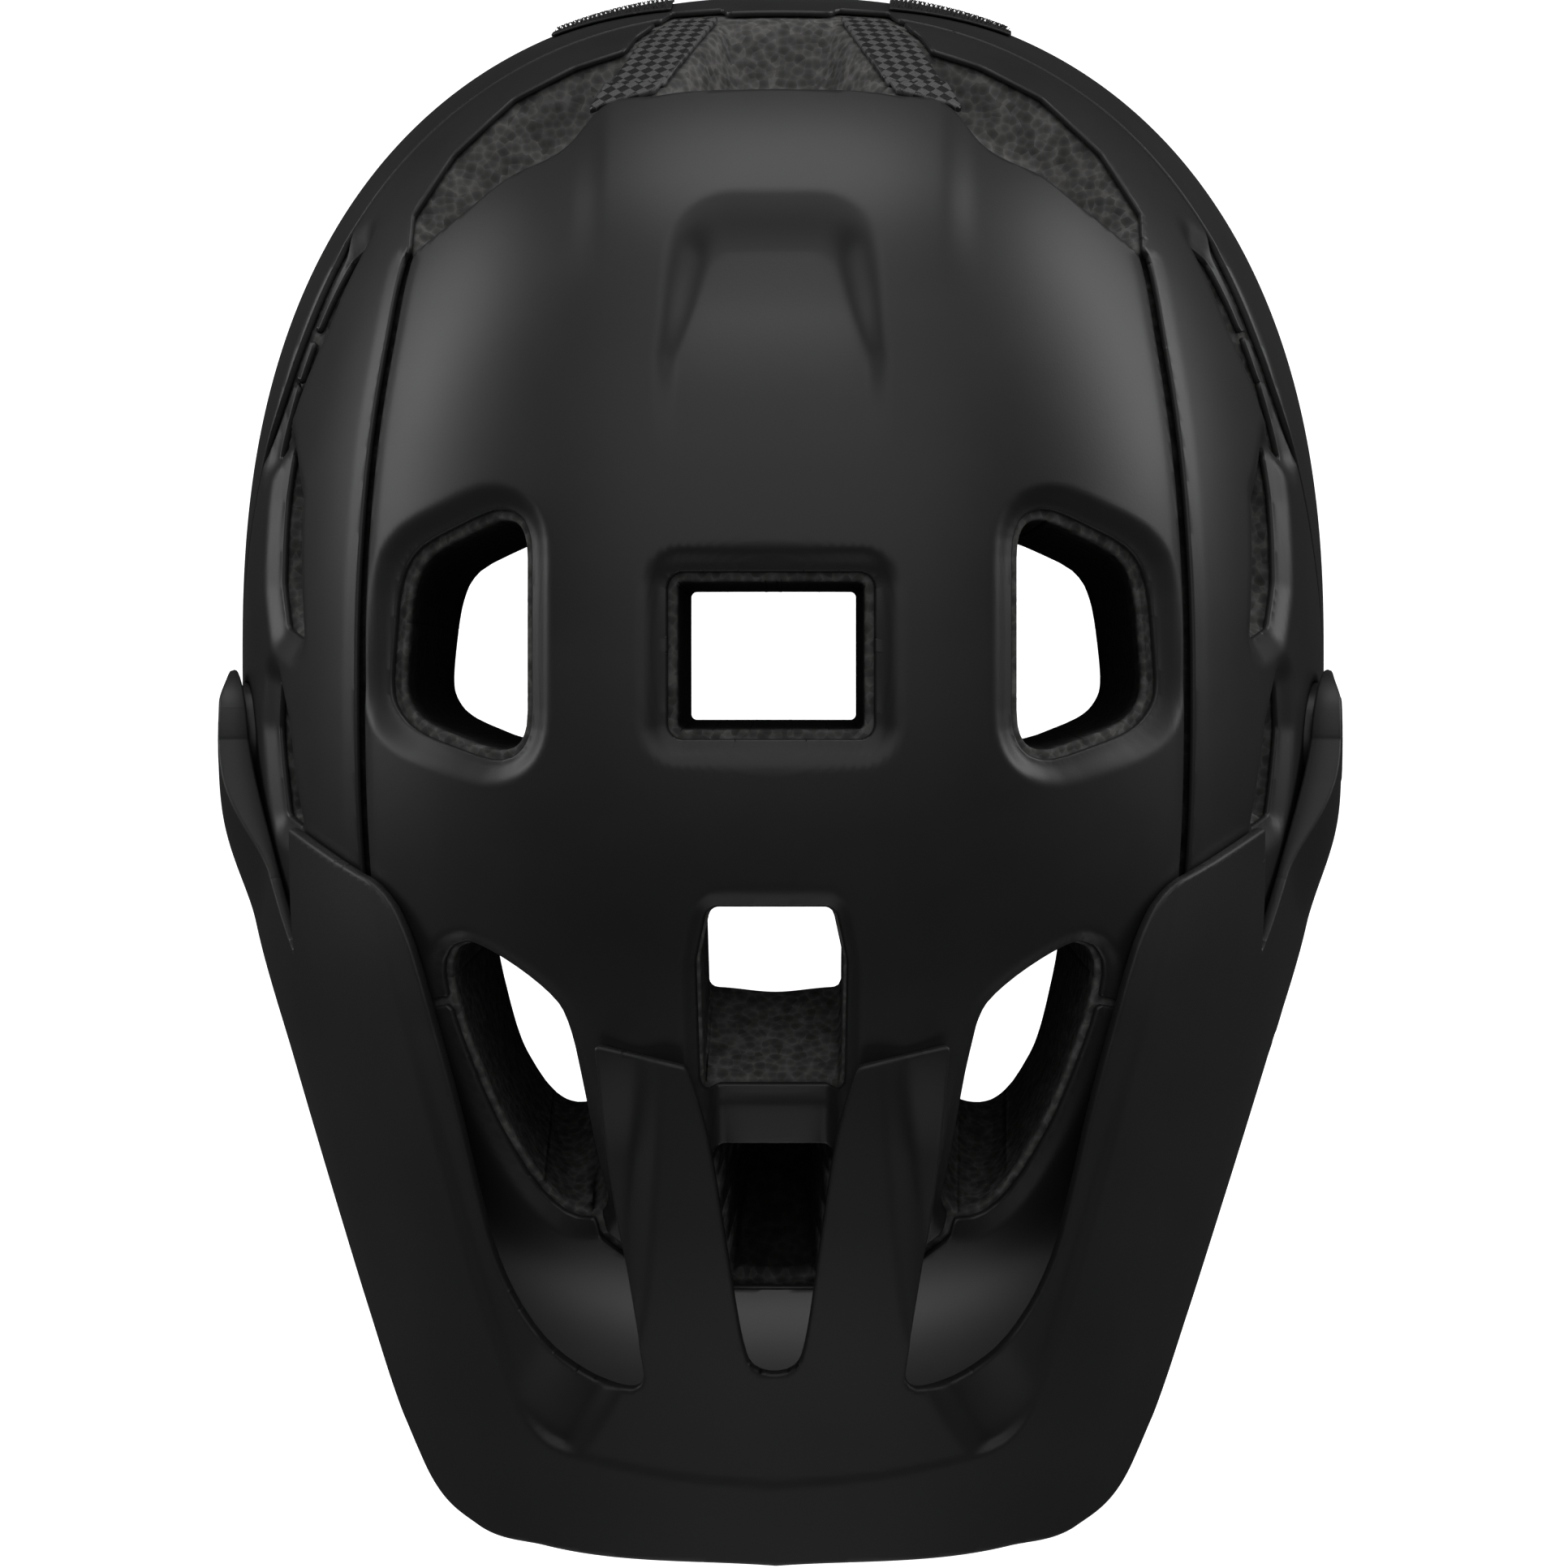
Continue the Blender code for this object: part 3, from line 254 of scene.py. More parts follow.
SHALLOW = 0.3
CUT_LOWEST = 62.0
VISOR_SCALE = 100.0
VISOR_MARGIN = 0.03
VISOR_REACH = (0.08, -1.68)
VISOR_STEPS = (300, 210)
VISOR_LIP = 0.55
INSIDE_VISOR = (0.0, -60.0, 20.0)

# Visor pivot.
PIVOT_Y = -8.0
PIVOT_Z = 36.0
ARM_RADIUS = 13.5
EYELET_RADIUS = 11.0
RECESS_RADIUS = 9.5
BOSS_X = 108.2
RECESS_X = 106.6
BORE_RADIUS = 4.3
BOSS_FADE = (10.0, 36.0)
ARM_X = 85.0
BORE_X = 95.0
TIP_CHAMFER = 1.4

# Retention ring.
RING_HALF_WIDTH = 70.5
RING_REAR = 75.0
RING_POWER = 2.7
RING_THICKNESS = 1.4
TEMPLE_Y = -35.0
TEMPLE_Z = -2.0
RING_SLOPE = 0.441
BELT_AZIMUTHS = (34.5, 67.5)
BELT_HALF_HEIGHT = 4.4
BELT_TEETH = 160
TOOTH_HEIGHT = 0.35

# Webbing.
STRAP_WIDTH = 15.0
STRAP_THICKNESS = 1.3

# Points of a CAD mesh closer than this are one.
MERGE_DISTANCE = 0.01

# Materials by finish, which is also the name of the material slot.
MATERIALS = {}


# ---------------------------------------------------------------- curves and distances

def smooth_curve(place, knots):
    """Value of a smooth line through (place, value) knots, flat beyond both ends."""
    places, values = np.array(knots, dtype=float).T
    slopes = np.gradient(values, places)
    low = np.clip(np.searchsorted(places, place) - 1, 0, len(places) - 2)
    span = places[low + 1] - places[low]
    share = np.clip((place - places[low]) / span, 0.0, 1.0)
    square, cube = share ** 2, share ** 3
    return (
        (2 * cube - 3 * square + 1) * values[low]
        + (cube - 2 * square + share) * span * slopes[low]
        + (3 * square - 2 * cube) * values[low + 1]
        + (cube - square) * span * slopes[low + 1]
    )


def smooth_step(value, low, high):
    """0 below low, 1 above high, and an S between them."""
    share = np.clip((value - low) / (high - low), 0.0, 1.0)
    return share * share * (3 - 2 * share)


def outline_distance(first, second, outline):
    """Signed distance to a closed outline, negative inside it."""
    nearest = np.full(first.shape, np.inf)
    inside = np.zeros(first.shape, dtype=bool)
    for (ax, ay), (bx, by) in zip(outline, outline[1:] + outline[:1]):
        run, rise = bx - ax, by - ay
        along = ((first - ax) * run + (second - ay) * rise) / (run * run + rise * rise)
        along = np.clip(along, 0.0, 1.0)
        nearest = np.minimum(nearest, np.hypot(first - ax - along * run, second - ay - along * rise))
        if rise:
            crosses = (ay > second) != (by > second)
            inside ^= crosses & (first < run * (second - ay) / rise + ax)
    return np.where(inside, -nearest, nearest)


def eased(outline, reach=4.0, sharp=()):
    """An outline with its corners cut twice, no further than reach, except the sharp ones by number."""
    points = [(np.array(point, dtype=float), number in sharp) for number, point in enumerate(outline)]
    for _ in range(2):
        cut = []
        for number, (point, kept) in enumerate(points):
            if kept:
                cut.append((point, True))
                continue
            for other in (points[number - 1][0], points[(number + 1) % len(points)][0]):
                span = other - point
                cut.append((point + span * min(0.27, reach / np.hypot(*span)), False))
        points = cut
    return [tuple(point) for point, _ in points]


def lowest(*fields):
    """Pointwise minimum of fields: the common part of their regions."""
    result = fields[0]
    for field in fields[1:]:
        result = np.minimum(result, field)
    return result


def unit(vectors):
    """Vectors scaled to length one."""
    return vectors / np.maximum(np.linalg.norm(vectors, axis=-1, keepdims=True), 1e-12)


VISOR_BACK_OUTLINE = eased(VISOR_BACK_CUT, sharp=VISOR_SHARP)
VISOR_STEP_OUTLINE = eased(VISOR_STEP)
VISOR_PANEL_OUTLINE = eased(VISOR_PANEL)
FRONT_VENT_OUTLINE = eased(FRONT_SIDE_VENT)
SIDE_VENT_OUTLINE = eased(SIDE_TOP_VENT, 2.0)


# ---------------------------------------------------------------- surfaces

def front_angle(x, y):
    """Angle round the crown from the front, 0 to 180 degrees on either side."""
    return np.degrees(np.arctan2(np.abs(x), CROWN_Y - y))


def plan_radius(azimuth, half_width, front, rear, power):
    """Distance from the crown axis to a superellipse, by azimuth from +X."""
    length = np.where(np.sin(azimuth) < 0, front, rear)
    across = (np.abs(np.cos(azimuth)) / half_width) ** power
    along = (np.abs(np.sin(azimuth)) / length) ** power
    return (across + along) ** (-1 / power)


def shell_point(azimuth, latitude):
    """Point of the outer shell surface, before any relief."""
    radius = plan_radius(azimuth, SHELL_HALF_WIDTH, SHELL_FRONT, SHELL_REAR, PLAN_POWER)
    radius = radius * np.abs(np.cos(latitude)) ** (2 / PROFILE_POWER)
    height = SHELL_CROWN * np.sign(latitude) * np.abs(np.sin(latitude)) ** (2 / PROFILE_POWER)
    return np.stack([radius * np.cos(azimuth), CROWN_Y + radius * np.sin(azimuth), height], axis=-1)


def shell_normal(point):
    """Outward unit normal of the shell surface: the gradient of its equation."""
    x, y, z = point[..., 0], point[..., 1] - CROWN_Y, point[..., 2]
    length = np.where(y < 0, SHELL_FRONT, SHELL_REAR)
    level = (np.abs(x) / SHELL_HALF_WIDTH) ** PLAN_POWER + (np.abs(y) / length) ** PLAN_POWER
    scale = level ** (PROFILE_POWER / PLAN_POWER - 1)
    slope_x = scale * np.sign(x) * (np.abs(x) / SHELL_HALF_WIDTH) ** (PLAN_POWER - 1) / SHELL_HALF_WIDTH
    slope_y = scale * np.sign(y) * (np.abs(y) / length) ** (PLAN_POWER - 1) / length
    slope_z = np.sign(z) * (np.abs(z) / SHELL_CROWN) ** (PROFILE_POWER - 1) / SHELL_CROWN
    return unit(np.stack([slope_x, slope_y, slope_z], axis=-1))


def depth_under_shell(place):
    """Depth of places under the plain outer surface."""
    centred = place - [0.0, CROWN_Y, 0.0]
    x, y, z = np.abs(split(centred))
    length = np.where(centred[..., 1] < 0, SHELL_FRONT, SHELL_REAR)
    level = (x / SHELL_HALF_WIDTH) ** PLAN_POWER + (y / length) ** PLAN_POWER
    size = (level ** (PROFILE_POWER / PLAN_POWER) + (z / SHELL_CROWN) ** PROFILE_POWER) ** (1 / PROFILE_POWER)
    return (1 / size - 1) * np.einsum("...j,...j->...", centred, shell_normal(place))


def cavity_point(azimuth, latitude):
    """Point of the head cavity that faces the shell point of the same direction."""
    shell = shell_point(azimuth, latitude)
    lean = smooth_curve(front_angle(shell[..., 0], shell[..., 1]), WALL_LEAN)
    dropped = np.where(latitude > 0, latitude - lean * np.sin(2 * latitude), latitude)
    height = SHELL_CROWN * np.sign(dropped) * np.abs(np.sin(dropped)) ** (2 / PROFILE_POWER)
    squash = 1 - CAVITY_CROWN / SHELL_CROWN
    height = height * np.where(latitude > 0, 1 - squash * np.sin(latitude) ** 2, 1.0)
    limit = np.where(height > 0, CAVITY_CROWN, CAVITY_SKIRT)
    share = np.clip(1 - (np.abs(height) / limit) ** CAVITY_POWER, 0.0, 1.0) ** (1 / CAVITY_POWER)
    plan = plan_radius(azimuth, CAVITY_HALF_WIDTH, CAVITY_FRONT, CAVITY_REAR, CAVITY_POWER)
    straight = CROWN_WALL_SHARE * np.hypot(shell[..., 0], shell[..., 1] - CROWN_Y) / plan
    share = share + (straight - share) * smooth_step(latitude, *CROWN_LATITUDES)
    crown = CAVITY_CROWN * np.clip(1 - share ** CAVITY_POWER, 0.0, 1.0) ** (1 / CAVITY_POWER)
    height = np.where(latitude > CROWN_LATITUDES[0], crown, height)
    azimuth = spread_front(azimuth, latitude)
    radius = share * plan_radius(azimuth, CAVITY_HALF_WIDTH, CAVITY_FRONT, CAVITY_REAR, CAVITY_POWER)
    return np.stack([radius * np.cos(azimuth), CROWN_Y + radius * np.sin(azimuth), height], axis=-1)


def spread_front(azimuth, latitude):
    """Azimuth pushed outward near the front, which keeps the walls of the front slot upright."""
    offset = (azimuth + math.pi / 2 + math.pi) % (2 * math.pi) - math.pi
    near = 1 - smooth_step(np.abs(np.degrees(offset)), *SPREAD_ANGLES)
    near = near * (1 - smooth_step(latitude, *SPREAD_LATITUDES))
    return azimuth + FRONT_SPREAD * near * offset


def split(points):
    """The x, y and z columns of an array of points."""
    return points[..., 0], points[..., 1], points[..., 2]


# ---------------------------------------------------------------- trimmed sheets

def full_grid(window, steps, closed):
    """Directions and triangles of an untrimmed grid over a window."""
    columns, rows = steps
    across = np.linspace(*window[0], columns + 1)
    width = columns if closed else columns + 1
    first, second = np.meshgrid(across[:width], np.linspace(*window[1], rows))
    params = np.stack([first.ravel(), second.ravel()], axis=-1)
    corner = (np.arange(rows - 1)[:, None] * width + np.arange(columns)).ravel()
    after = (np.arange(rows - 1)[:, None] * width + (np.arange(columns) + 1) % width).ravel()
    triangles = np.concatenate([
        np.stack([corner, after, after + width], axis=-1),
        np.stack([corner, after + width, corner + width], axis=-1),
    ])
    return params, triangles


def crossing_share(field_of, start, step, low_value, high_value):
    """Share of each step from start at which the field falls to zero, by the method of false position."""
    low, high = np.zeros(len(start)), np.ones(len(start))
    for _ in range(CROSSING_ROUNDS):
        share = low + (high - low) * low_value / (low_value - high_value)
        here = field_of(start + share[:, None] * step)
        kept = here > 0
        low, low_value = np.where(kept, share, low), np.where(kept, here, low_value)
        high, high_value = np.where(kept, high, share), np.where(kept, high_value, here)
        high_value = np.minimum(high_value, -1e-9)
    return np.clip(low + (high - low) * low_value / (low_value - high_value), 0.03, 0.97)


def trimmed_grid(field_of, window, steps, closed):
    """Cut a grid of directions where field_of is not positive.

    Returns the directions of the kept points and the kept triangles.
    """
    params, triangles = full_grid(window, steps, closed)
    value = field_of(params)
    inside = value[triangles] > 0
    count = inside.sum(axis=1)

    def turned(chosen, start):
        return np.take_along_axis(triangles[chosen], (start[:, None] + np.arange(3)) % 3, axis=1)

    single = turned(count == 1, np.argmax(inside[count == 1], axis=1))
    double = turned(count == 2, np.argmin(inside[count == 2], axis=1))
    pairs = np.concatenate([single[:, [0, 1]], single[:, [0, 2]], double[:, [1, 0]], double[:, [2, 0]]])
    keys, place = np.unique(pairs[:, 0] * len(params) + pairs[:, 1], return_inverse=True)
    start, end = keys // len(params), keys % len(params)
    step = params[end] - params[start]
    if closed:
        step[:, 0] = (step[:, 0] + math.pi) % (2 * math.pi) - math.pi
    share = crossing_share(field_of, params[start], step, value[start], value[end])
    crossing = params[start] + share[:, None] * step
    place = place.ravel() + len(params)
    ones, twos = len(single), len(double)
    e1, e2 = place[:ones], place[ones:2 * ones]
    f1, f2 = place[2 * ones:2 * ones + twos], place[2 * ones + twos:]
    triangles = np.concatenate([
        triangles[count == 3],
        np.stack([single[:, 0], e1, e2], axis=-1),
        np.stack([double[:, 1], double[:, 2], f2], axis=-1),
        np.stack([double[:, 1], f2, f1], axis=-1),
    ])
    used, triangles = np.unique(triangles, return_inverse=True)
    return np.concatenate([params, crossing])[used], triangles.reshape(-1, 3)


def boundary_edges(triangles):
    """Directed edges that belong to one triangle only."""
    edges = np.concatenate([triangles[:, [0, 1]], triangles[:, [1, 2]], triangles[:, [2, 0]]])
    size = int(triangles.max()) + 1
    forward = edges[:, 0] * size + edges[:, 1]
    backward = edges[:, 1] * size + edges[:, 0]
    return edges[~np.isin(forward, backward)]


def surface_normal(surface, params):
    """Unit normals of a surface by small steps of its two parameters."""
    small = 1e-4
    first = surface(params + [small, 0]) - surface(params - [small, 0])
    second = surface(params + [0, small]) - surface(params - [0, small])
    return unit(np.cross(first, second))


def edge_direction(points, normals, edges):
    """For every point on the boundary, the direction in the surface that leaves the sheet."""
    leaving = np.cross(points[edges[:, 1]] - points[edges[:, 0]], normals[edges[:, 0]])
    total = np.zeros_like(points)
    np.add.at(total, edges[:, 0], leaving)
    np.add.at(total, edges[:, 1], leaving)
    for _ in range(LIP_SMOOTHING):
        spread = total.copy()
        np.add.at(spread, edges[:, 0], total[edges[:, 1]])
        np.add.at(spread, edges[:, 1], total[edges[:, 0]])
        total = spread / 3
    return unit(total)


def new_object(name, data):
    """An object of some data, in the scene."""
    made = bpy.data.objects.new(name, data)
    bpy.context.scene.collection.objects.link(made)
    return made


def new_mesh(name, points, triangles, finish, body, uv=None):
    """Object from points in millimetres and triangles, with a material, riding on a body."""
    sides = points[triangles[:, 0]], points[triangles[:, 1]], points[triangles[:, 2]]
    if (sides[0] * np.cross(sides[1], sides[2])).sum() < 0:
        triangles = triangles[:, ::-1]
    mesh = bpy.data.meshes.new(name)
    mesh.from_pydata(points * MM, [], triangles.tolist(), shade_flat=False)
    if uv is not None:
        layer = mesh.uv_layers.new(name="UVMap")
        layer.data.foreach_set("uv", uv[triangles.ravel()].astype(np.float32).ravel())
    return place_mesh(name, mesh, finish, body)


def tube_faces(start, rings, sides):
    """Triangles of a tube of rings of points numbered from start, closed at its last ring."""
    last = start + (rings - 1) * sides
    faces = []
    for ring in range(start, last, sides):
        for step in range(sides):
            a, b = ring + step, ring + (step + 1) % sides
            faces += [(a, b, b + sides), (a, b + sides, a + sides)]
    faces += [(last, last + step, last + step + 1) for step in range(1, sides - 1)]
    return faces


def place_mesh(name, mesh, finish, body):
    """Object of a finished mesh, with its material and its body."""
    mesh.materials.append(MATERIALS[finish])
    made = new_object(name, mesh)
    if body:
        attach(made, body)
    return made


def sheet(name, outer_of, inner_of, field_of, finish, body="helmet",
          window=(FULL_CIRCLE, DOME_LATITUDES), steps=DOME_STEPS, closed=True, lip=LIP, wall_shares=()):
    """A solid between two surfaces over the same directions, closed by rounded lips."""
    params, triangles = trimmed_grid(lambda place: field_of(place) - lip, window, steps, closed)
    edges = boundary_edges(triangles)
    rim, edges_in_rim = np.unique(edges, return_inverse=True)
    edges_in_rim = edges_in_rim.reshape(-1, 2)
    layers, rings = [], []
    for surface, sign in ((outer_of, 1), (inner_of, -1)):
        points = surface(params)
        normals = surface_normal(surface, params)
        if np.mean(np.einsum("ij,ij->i", normals, outer_of(params) - inner_of(params))) < 0:
            normals = -normals
        oriented = edges if orientation(points, triangles, normals) > 0 else edges[:, ::-1]
        away = edge_direction(points, normals, oriented)
        layers.append(points)
        shoulder = points + lip * (0.72 * away - 0.28 * sign * normals)
        tip = points + lip * (away - sign * normals)
        rings.append((shoulder[rim], tip[rim]))
    (outer_shoulder, outer_tip), (inner_shoulder, inner_tip) = rings
    middle = [outer_tip + (inner_tip - outer_tip) * share for share in wall_shares]
    rings = [outer_shoulder, outer_tip, *middle, inner_tip, inner_shoulder]
    count = len(params)
    numbers = [rim] + [2 * count + len(rim) * ring + np.arange(len(rim)) for ring in range(len(rings))]
    numbers.append(rim + count)
    faces = [triangles, triangles[:, ::-1] + count]
    for upper, lower in zip(numbers, numbers[1:]):
        a, b = upper[edges_in_rim[:, 0]], upper[edges_in_rim[:, 1]]
        c, d = lower[edges_in_rim[:, 0]], lower[edges_in_rim[:, 1]]
        faces.append(np.stack([b, a, c], axis=-1))
        faces.append(np.stack([b, c, d], axis=-1))
    points = np.concatenate(layers + rings)
    uv = np.concatenate([params, params] + [params[rim]] * len(rings))
    return new_mesh(name, points, np.concatenate(faces), finish, body, uv)


def orientation(points, triangles, normals):
    """Positive where the triangles turn the same way as the normals."""
    first, second, third = (points[triangles[:, corner]] for corner in range(3))
    return (np.cross(second - first, third - first) * normals[triangles[:, 0]]).sum()


# ---------------------------------------------------------------- fields of the shells and the liner

def seam_side(x, y):
    """Distance outside the seam between the top shell and the side shells."""
    return np.abs(x) - smooth_curve(y, SIDE_SEAM)


def behind_tail(x, y):
    """Distance behind the top shell's rear edge."""
    reach = np.abs(x)
    edge = smooth_curve(reach, TAIL_EDGE)
    steepness = np.abs(smooth_curve(reach + 1, TAIL_EDGE) - smooth_curve(reach - 1, TAIL_EDGE)) / 2
    return (y - edge) / np.hypot(1, steepness)


def above_rim(x, y, z):
    """Height above the helmet's rim."""
    return z - smooth_curve(front_angle(x, y), RIM)


def above_wrap(x, y, z):
    """Height above the rear shell's upper edge."""
    return z - smooth_curve(front_angle(x, y), WRAP_EDGE)


def ahead_of_brow_seam(x, y):
    """Distance ahead of the seam between the brow shell and the shells behind it."""
    return -outline_distance(np.abs(x), y, BROW_REGION)


def crown_vents(x, y):
    """Distance outside the three vents across the crown."""
    return lowest(
        outline_distance(x, y, CENTRE_VENT) - VENT_CORNER,
        outline_distance(np.abs(x), y, SIDE_VENT_OUTLINE) - SIDE_TOP_CORNER,
    )


def front_vents(x, y):
    """Distance outside the vents behind the visor's openings."""
    return outline_distance(np.abs(x), y, FRONT_VENT_OUTLINE) - VENT_CORNER


def upper_slot(x, y):
    """Distance outside the centre slot behind the crossbar."""
    return outline_distance(x, y, SLOT_UPPER) - SLOT_CORNER


def lower_slot(x, y):
    """Distance outside the centre slot ahead of the crossbar."""
    return outline_distance(x, y, SLOT_LOWER) - SLOT_CORNER


def vent_distance(x, y):
    """Distance outside every through vent."""
    return lowest(crown_vents(x, y), front_vents(x, y), upper_slot(x, y))


def side_recess(x, y, z):
    """Distance outside the recesses in the side shells."""
    nearest = lowest(*[outline_distance(y, z, outline) for outline in SIDE_RECESSES])
    return np.where(np.abs(x) > SIDE_X, nearest - RECESS_CORNER, FAR)


def pivot_distance(y, z):
    """Distance from the visor's pivot axis."""
    return np.hypot(y - PIVOT_Y, z - PIVOT_Z)


def crown_seam(x, y):
    """Distance from the seams beside the crown, between the tail and the brow."""
    return np.where((y < CROWN_SEAM_ENDS[1]) & (y > CROWN_SEAM_ENDS[0]), np.abs(seam_side(x, y)), FAR)


def hollow_depth(x, y, z):
    """Depth of the foam hollows that don't go through."""
    crescent = smooth_step(-outline_distance(np.abs(x), y, CRESCENT), -0.8, 3.4)
    centre = smooth_step(-outline_distance(x, y, REAR_CENTRE), -0.8, 4.6)
    channel = smooth_step(-outline_distance(x, y, SLOT_LOWER), -2.4, 1.5)
    sides = smooth_step(-side_recess(x, y, z), -0.6, 2.4)
    pocket = 1 - smooth_step(pivot_distance(y, z), EYELET_RADIUS, EYELET_RADIUS + 0.7)
    pocket = np.where(np.abs(x) > SIDE_X, pocket, 0.0)
    groove = 1 - smooth_step(crown_seam(x, y), 0.8, 2.6)
    rear = CRESCENT_DEPTH * crescent + REAR_CENTRE_DEPTH * centre
    side = SIDE_HOLLOW_DEPTH * sides + POCKET_DEPTH * pocket
    return rear + CHANNEL_DEPTH * channel + side + GROOVE_DEPTH * groove


def relief(x, y, z):
    """Height of the pressed shapes of the shells over the plain dome."""
    dish = DISH_DEPTH * (1 - smooth_step(crown_vents(x, y), 0.2, 4.8))
    slope = FRONT_SLOPE_DEPTH * (1 - smooth_step(lowest(front_vents(x, y), upper_slot(x, y)), 0.2, 3.0))
    floor = outline_distance(x, y, SCOOP_FLOOR) - SCOOP_CORNER
    floor = floor / (SCOOP_RAMP + SCOOP_REAR_RAMP * smooth_step(y, 62, 86))
    scoop = SCOOP_DEPTH * (1 - smooth_step(floor, 0.0, 1.0)) * smooth_step(y, 42, 84)
    side_dish = SIDE_DISH_DEPTH * (1 - smooth_step(side_recess(x, y, z), 0.2, 5.5))
    bar = np.maximum(np.abs(x) - CROSSBAR_HALF_WIDTH, np.abs(y - CROSSBAR_Y) - CROSSBAR_HALF_LENGTH)
    crossbar = CROSSBAR_DEPTH * (1 - smooth_step(bar, -0.5, 2.5))
    seam = SEAM_DEPTH * (1 - smooth_step(crown_seam(x, y), 0.7, 3.2))
    tail = TAIL_HEIGHT * (1 - smooth_step(np.abs(x), 31, 39)) * smooth_step(y, 72, 96) * (y < 116)
    return tail - dish - slope - scoop - crossbar - seam - side_dish


def skin(depth_of):
    """Surface function at a depth under the pressed shell."""
    def surface(params):
        base = shell_point(params[:, 0], params[:, 1])
        height = relief(*split(base)) - depth_of(*split(base))
        return base + height[:, None] * shell_normal(base)
    return surface


def cavity(params):
    """Surface function of the head cavity."""
    return cavity_point(params[:, 0], params[:, 1])


def on_shell(field):
    """Field over directions from a field over places on the shell."""
    return lambda params: field(*split(shell_point(params[:, 0], params[:, 1])))


def liner_field(x, y, z):
    """The foam reaches a little further into each vent than the shells."""
    front = lowest(front_vents(x, y), upper_slot(x, y)) + FRONT_FOAM_EDGE
    return lowest(above_rim(x, y, z), crown_vents(x, y) + FOAM_EDGE, front)


def top_shell_field(x, y, z):
    """Crown between the two seams, from the tail edge to the brow seam."""
    return lowest(
        -seam_side(x, y) - SEAM_GAP / 2,
        -behind_tail(x, y),
        -ahead_of_brow_seam(x, y) - SEAM_GAP / 2,
        vent_distance(x, y),
        lower_slot(x, y),
        above_rim(x, y, z),
    )


def side_shell_field(x, y, z):
    """Outside the seam, above the rear shell and round the outer edge of the crescent."""
    return lowest(
        np.maximum(seam_side(x, y), behind_tail(x, y)) - SEAM_GAP / 2,
        -ahead_of_brow_seam(x, y) - SEAM_GAP / 2,
        above_wrap(x, y, z) - SEAM_GAP / 2,
        outline_distance(np.abs(x), y, CRESCENT),
        outline_distance(np.abs(x), y, STRUT) - SEAM_GAP,
        outline_distance(x, y, REAR_CENTRE),
        np.abs(x) - SIDE_SHELL_REAR_X,
        vent_distance(x, y),
        side_recess(x, y, z),
        np.where(np.abs(x) > SIDE_X, pivot_distance(y, z) - EYELET_RADIUS - GAP, FAR),
        above_rim(x, y, z),
    )


def rear_shell_field(x, y, z):
    """The band round the back, below the side shells and the struts."""
    return lowest(
        -above_wrap(x, y, z) - SEAM_GAP / 2,
        outline_distance(np.abs(x), y, STRUT) - SEAM_GAP,
        -ahead_of_brow_seam(x, y) - SEAM_GAP / 2,
        above_rim(x, y, z),
    )


def brow_shell_field(x, y, z):
    """Everything ahead of the brow seam."""
    return lowest(
        ahead_of_brow_seam(x, y) - SEAM_GAP / 2,
        vent_distance(x, y),
        lower_slot(x, y),
        above_rim(x, y, z),
    )


def strut_field(x, y, z):
    """One strut beside the rear centre opening."""
    return -outline_distance(np.abs(x), y, STRUT)


def make_liner():
    """Foam liner with its vents and hollows."""
    outer = skin(lambda x, y, z: FOAM_INSET + hollow_depth(x, y, z))
    made = sheet(
        "foam_liner", outer, cavity, on_shell(liner_field), "foam",
        steps=LINER_STEPS, lip=FOAM_LIP, wall_shares=WALL_SHARES,
    )
    paint_foam_shade(made)
    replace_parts(made, "liner")


def paint_foam_shade(made):
    """Point value of painted shade: 1 on unshaded foam, less deep in the vents and in the grooves, where the
    shade is painted near black.
    """
    place = coordinates(made.data) / MM
    x, y, _ = split(place)
    under = depth_under_shell(place)
    # Painted shade down the vent walls, from 3 mm under the shell inward.
    wall = smooth_step(under, 3.0, 6.5) * (y < SHADED_REAR) * (np.abs(x) < SHADED_HALF_WIDTH)
    crown = smooth_step(y, -46.0, -34.0)
    front = FRONT_WALL_SHADE * smooth_step(np.abs(x), 16.0, 22.0)
    shade = 1 - (front + (CROWN_WALL_SHADE - front) * crown) * wall
    # Painted shade in the deep channel ahead of the crossbar.
    channel = 1 - GROOVE_SHADE * smooth_step(-outline_distance(x, y, SLOT_LOWER), -7.0, -4.0) * (under > 2)
    # Painted shade along the grooves under the seams between the shells.
    groove = 1 - GROOVE_SHADE * (1 - smooth_step(crown_seam(x, y), 1.0, 3.0))
    layer = made.data.attributes.new(PAINTED_SHADE, "FLOAT", "POINT")
    layer.data.foreach_set("value", (shade * channel * groove).astype(np.float32))


def mirrored(side, azimuths):
    """A left-hand azimuth window (degrees) in radians, or its mirror image for the right-hand side."""
    chosen = azimuths if side > 0 else tuple(180 - angle for angle in reversed(azimuths))
    return tuple(math.radians(angle) for angle in chosen)


SIDES = ((1, "left"), (-1, "right"))


def make_shells():
    """Every pressed shell of the outer skin."""
    outer = skin(lambda x, y, z: 0.0 * x)
    inner = skin(lambda x, y, z: SHELL_THICKNESS + 0.0 * x)
    for name, field in (
        ("top_shell", top_shell_field), ("brow_shell", brow_shell_field), ("rear_shell", rear_shell_field),
    ):
        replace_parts(sheet(f"{name}_skin", outer, inner, on_shell(field), "shell"), name)
    for side, name in SIDES:
        made = sheet(
            f"side_shell_skin_{name}", outer, inner, on_shell(side_shell_field), "shell",
            window=(mirrored(side, (-95, 95)), DOME_LATITUDES), steps=HALF_DOME_STEPS, closed=False,
        )
        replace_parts(made, f"side_shell_{name}")
        made = sheet(
            f"strut_weave_{name}", outer, inner, on_shell(strut_field), "weave",
            window=(mirrored(side, (68, 86)), STRUT_LATITUDES), steps=STRUT_STEPS, closed=False,
        )
        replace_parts(made, f"strut_cover_{name}")


# ---------------------------------------------------------------- hook tape

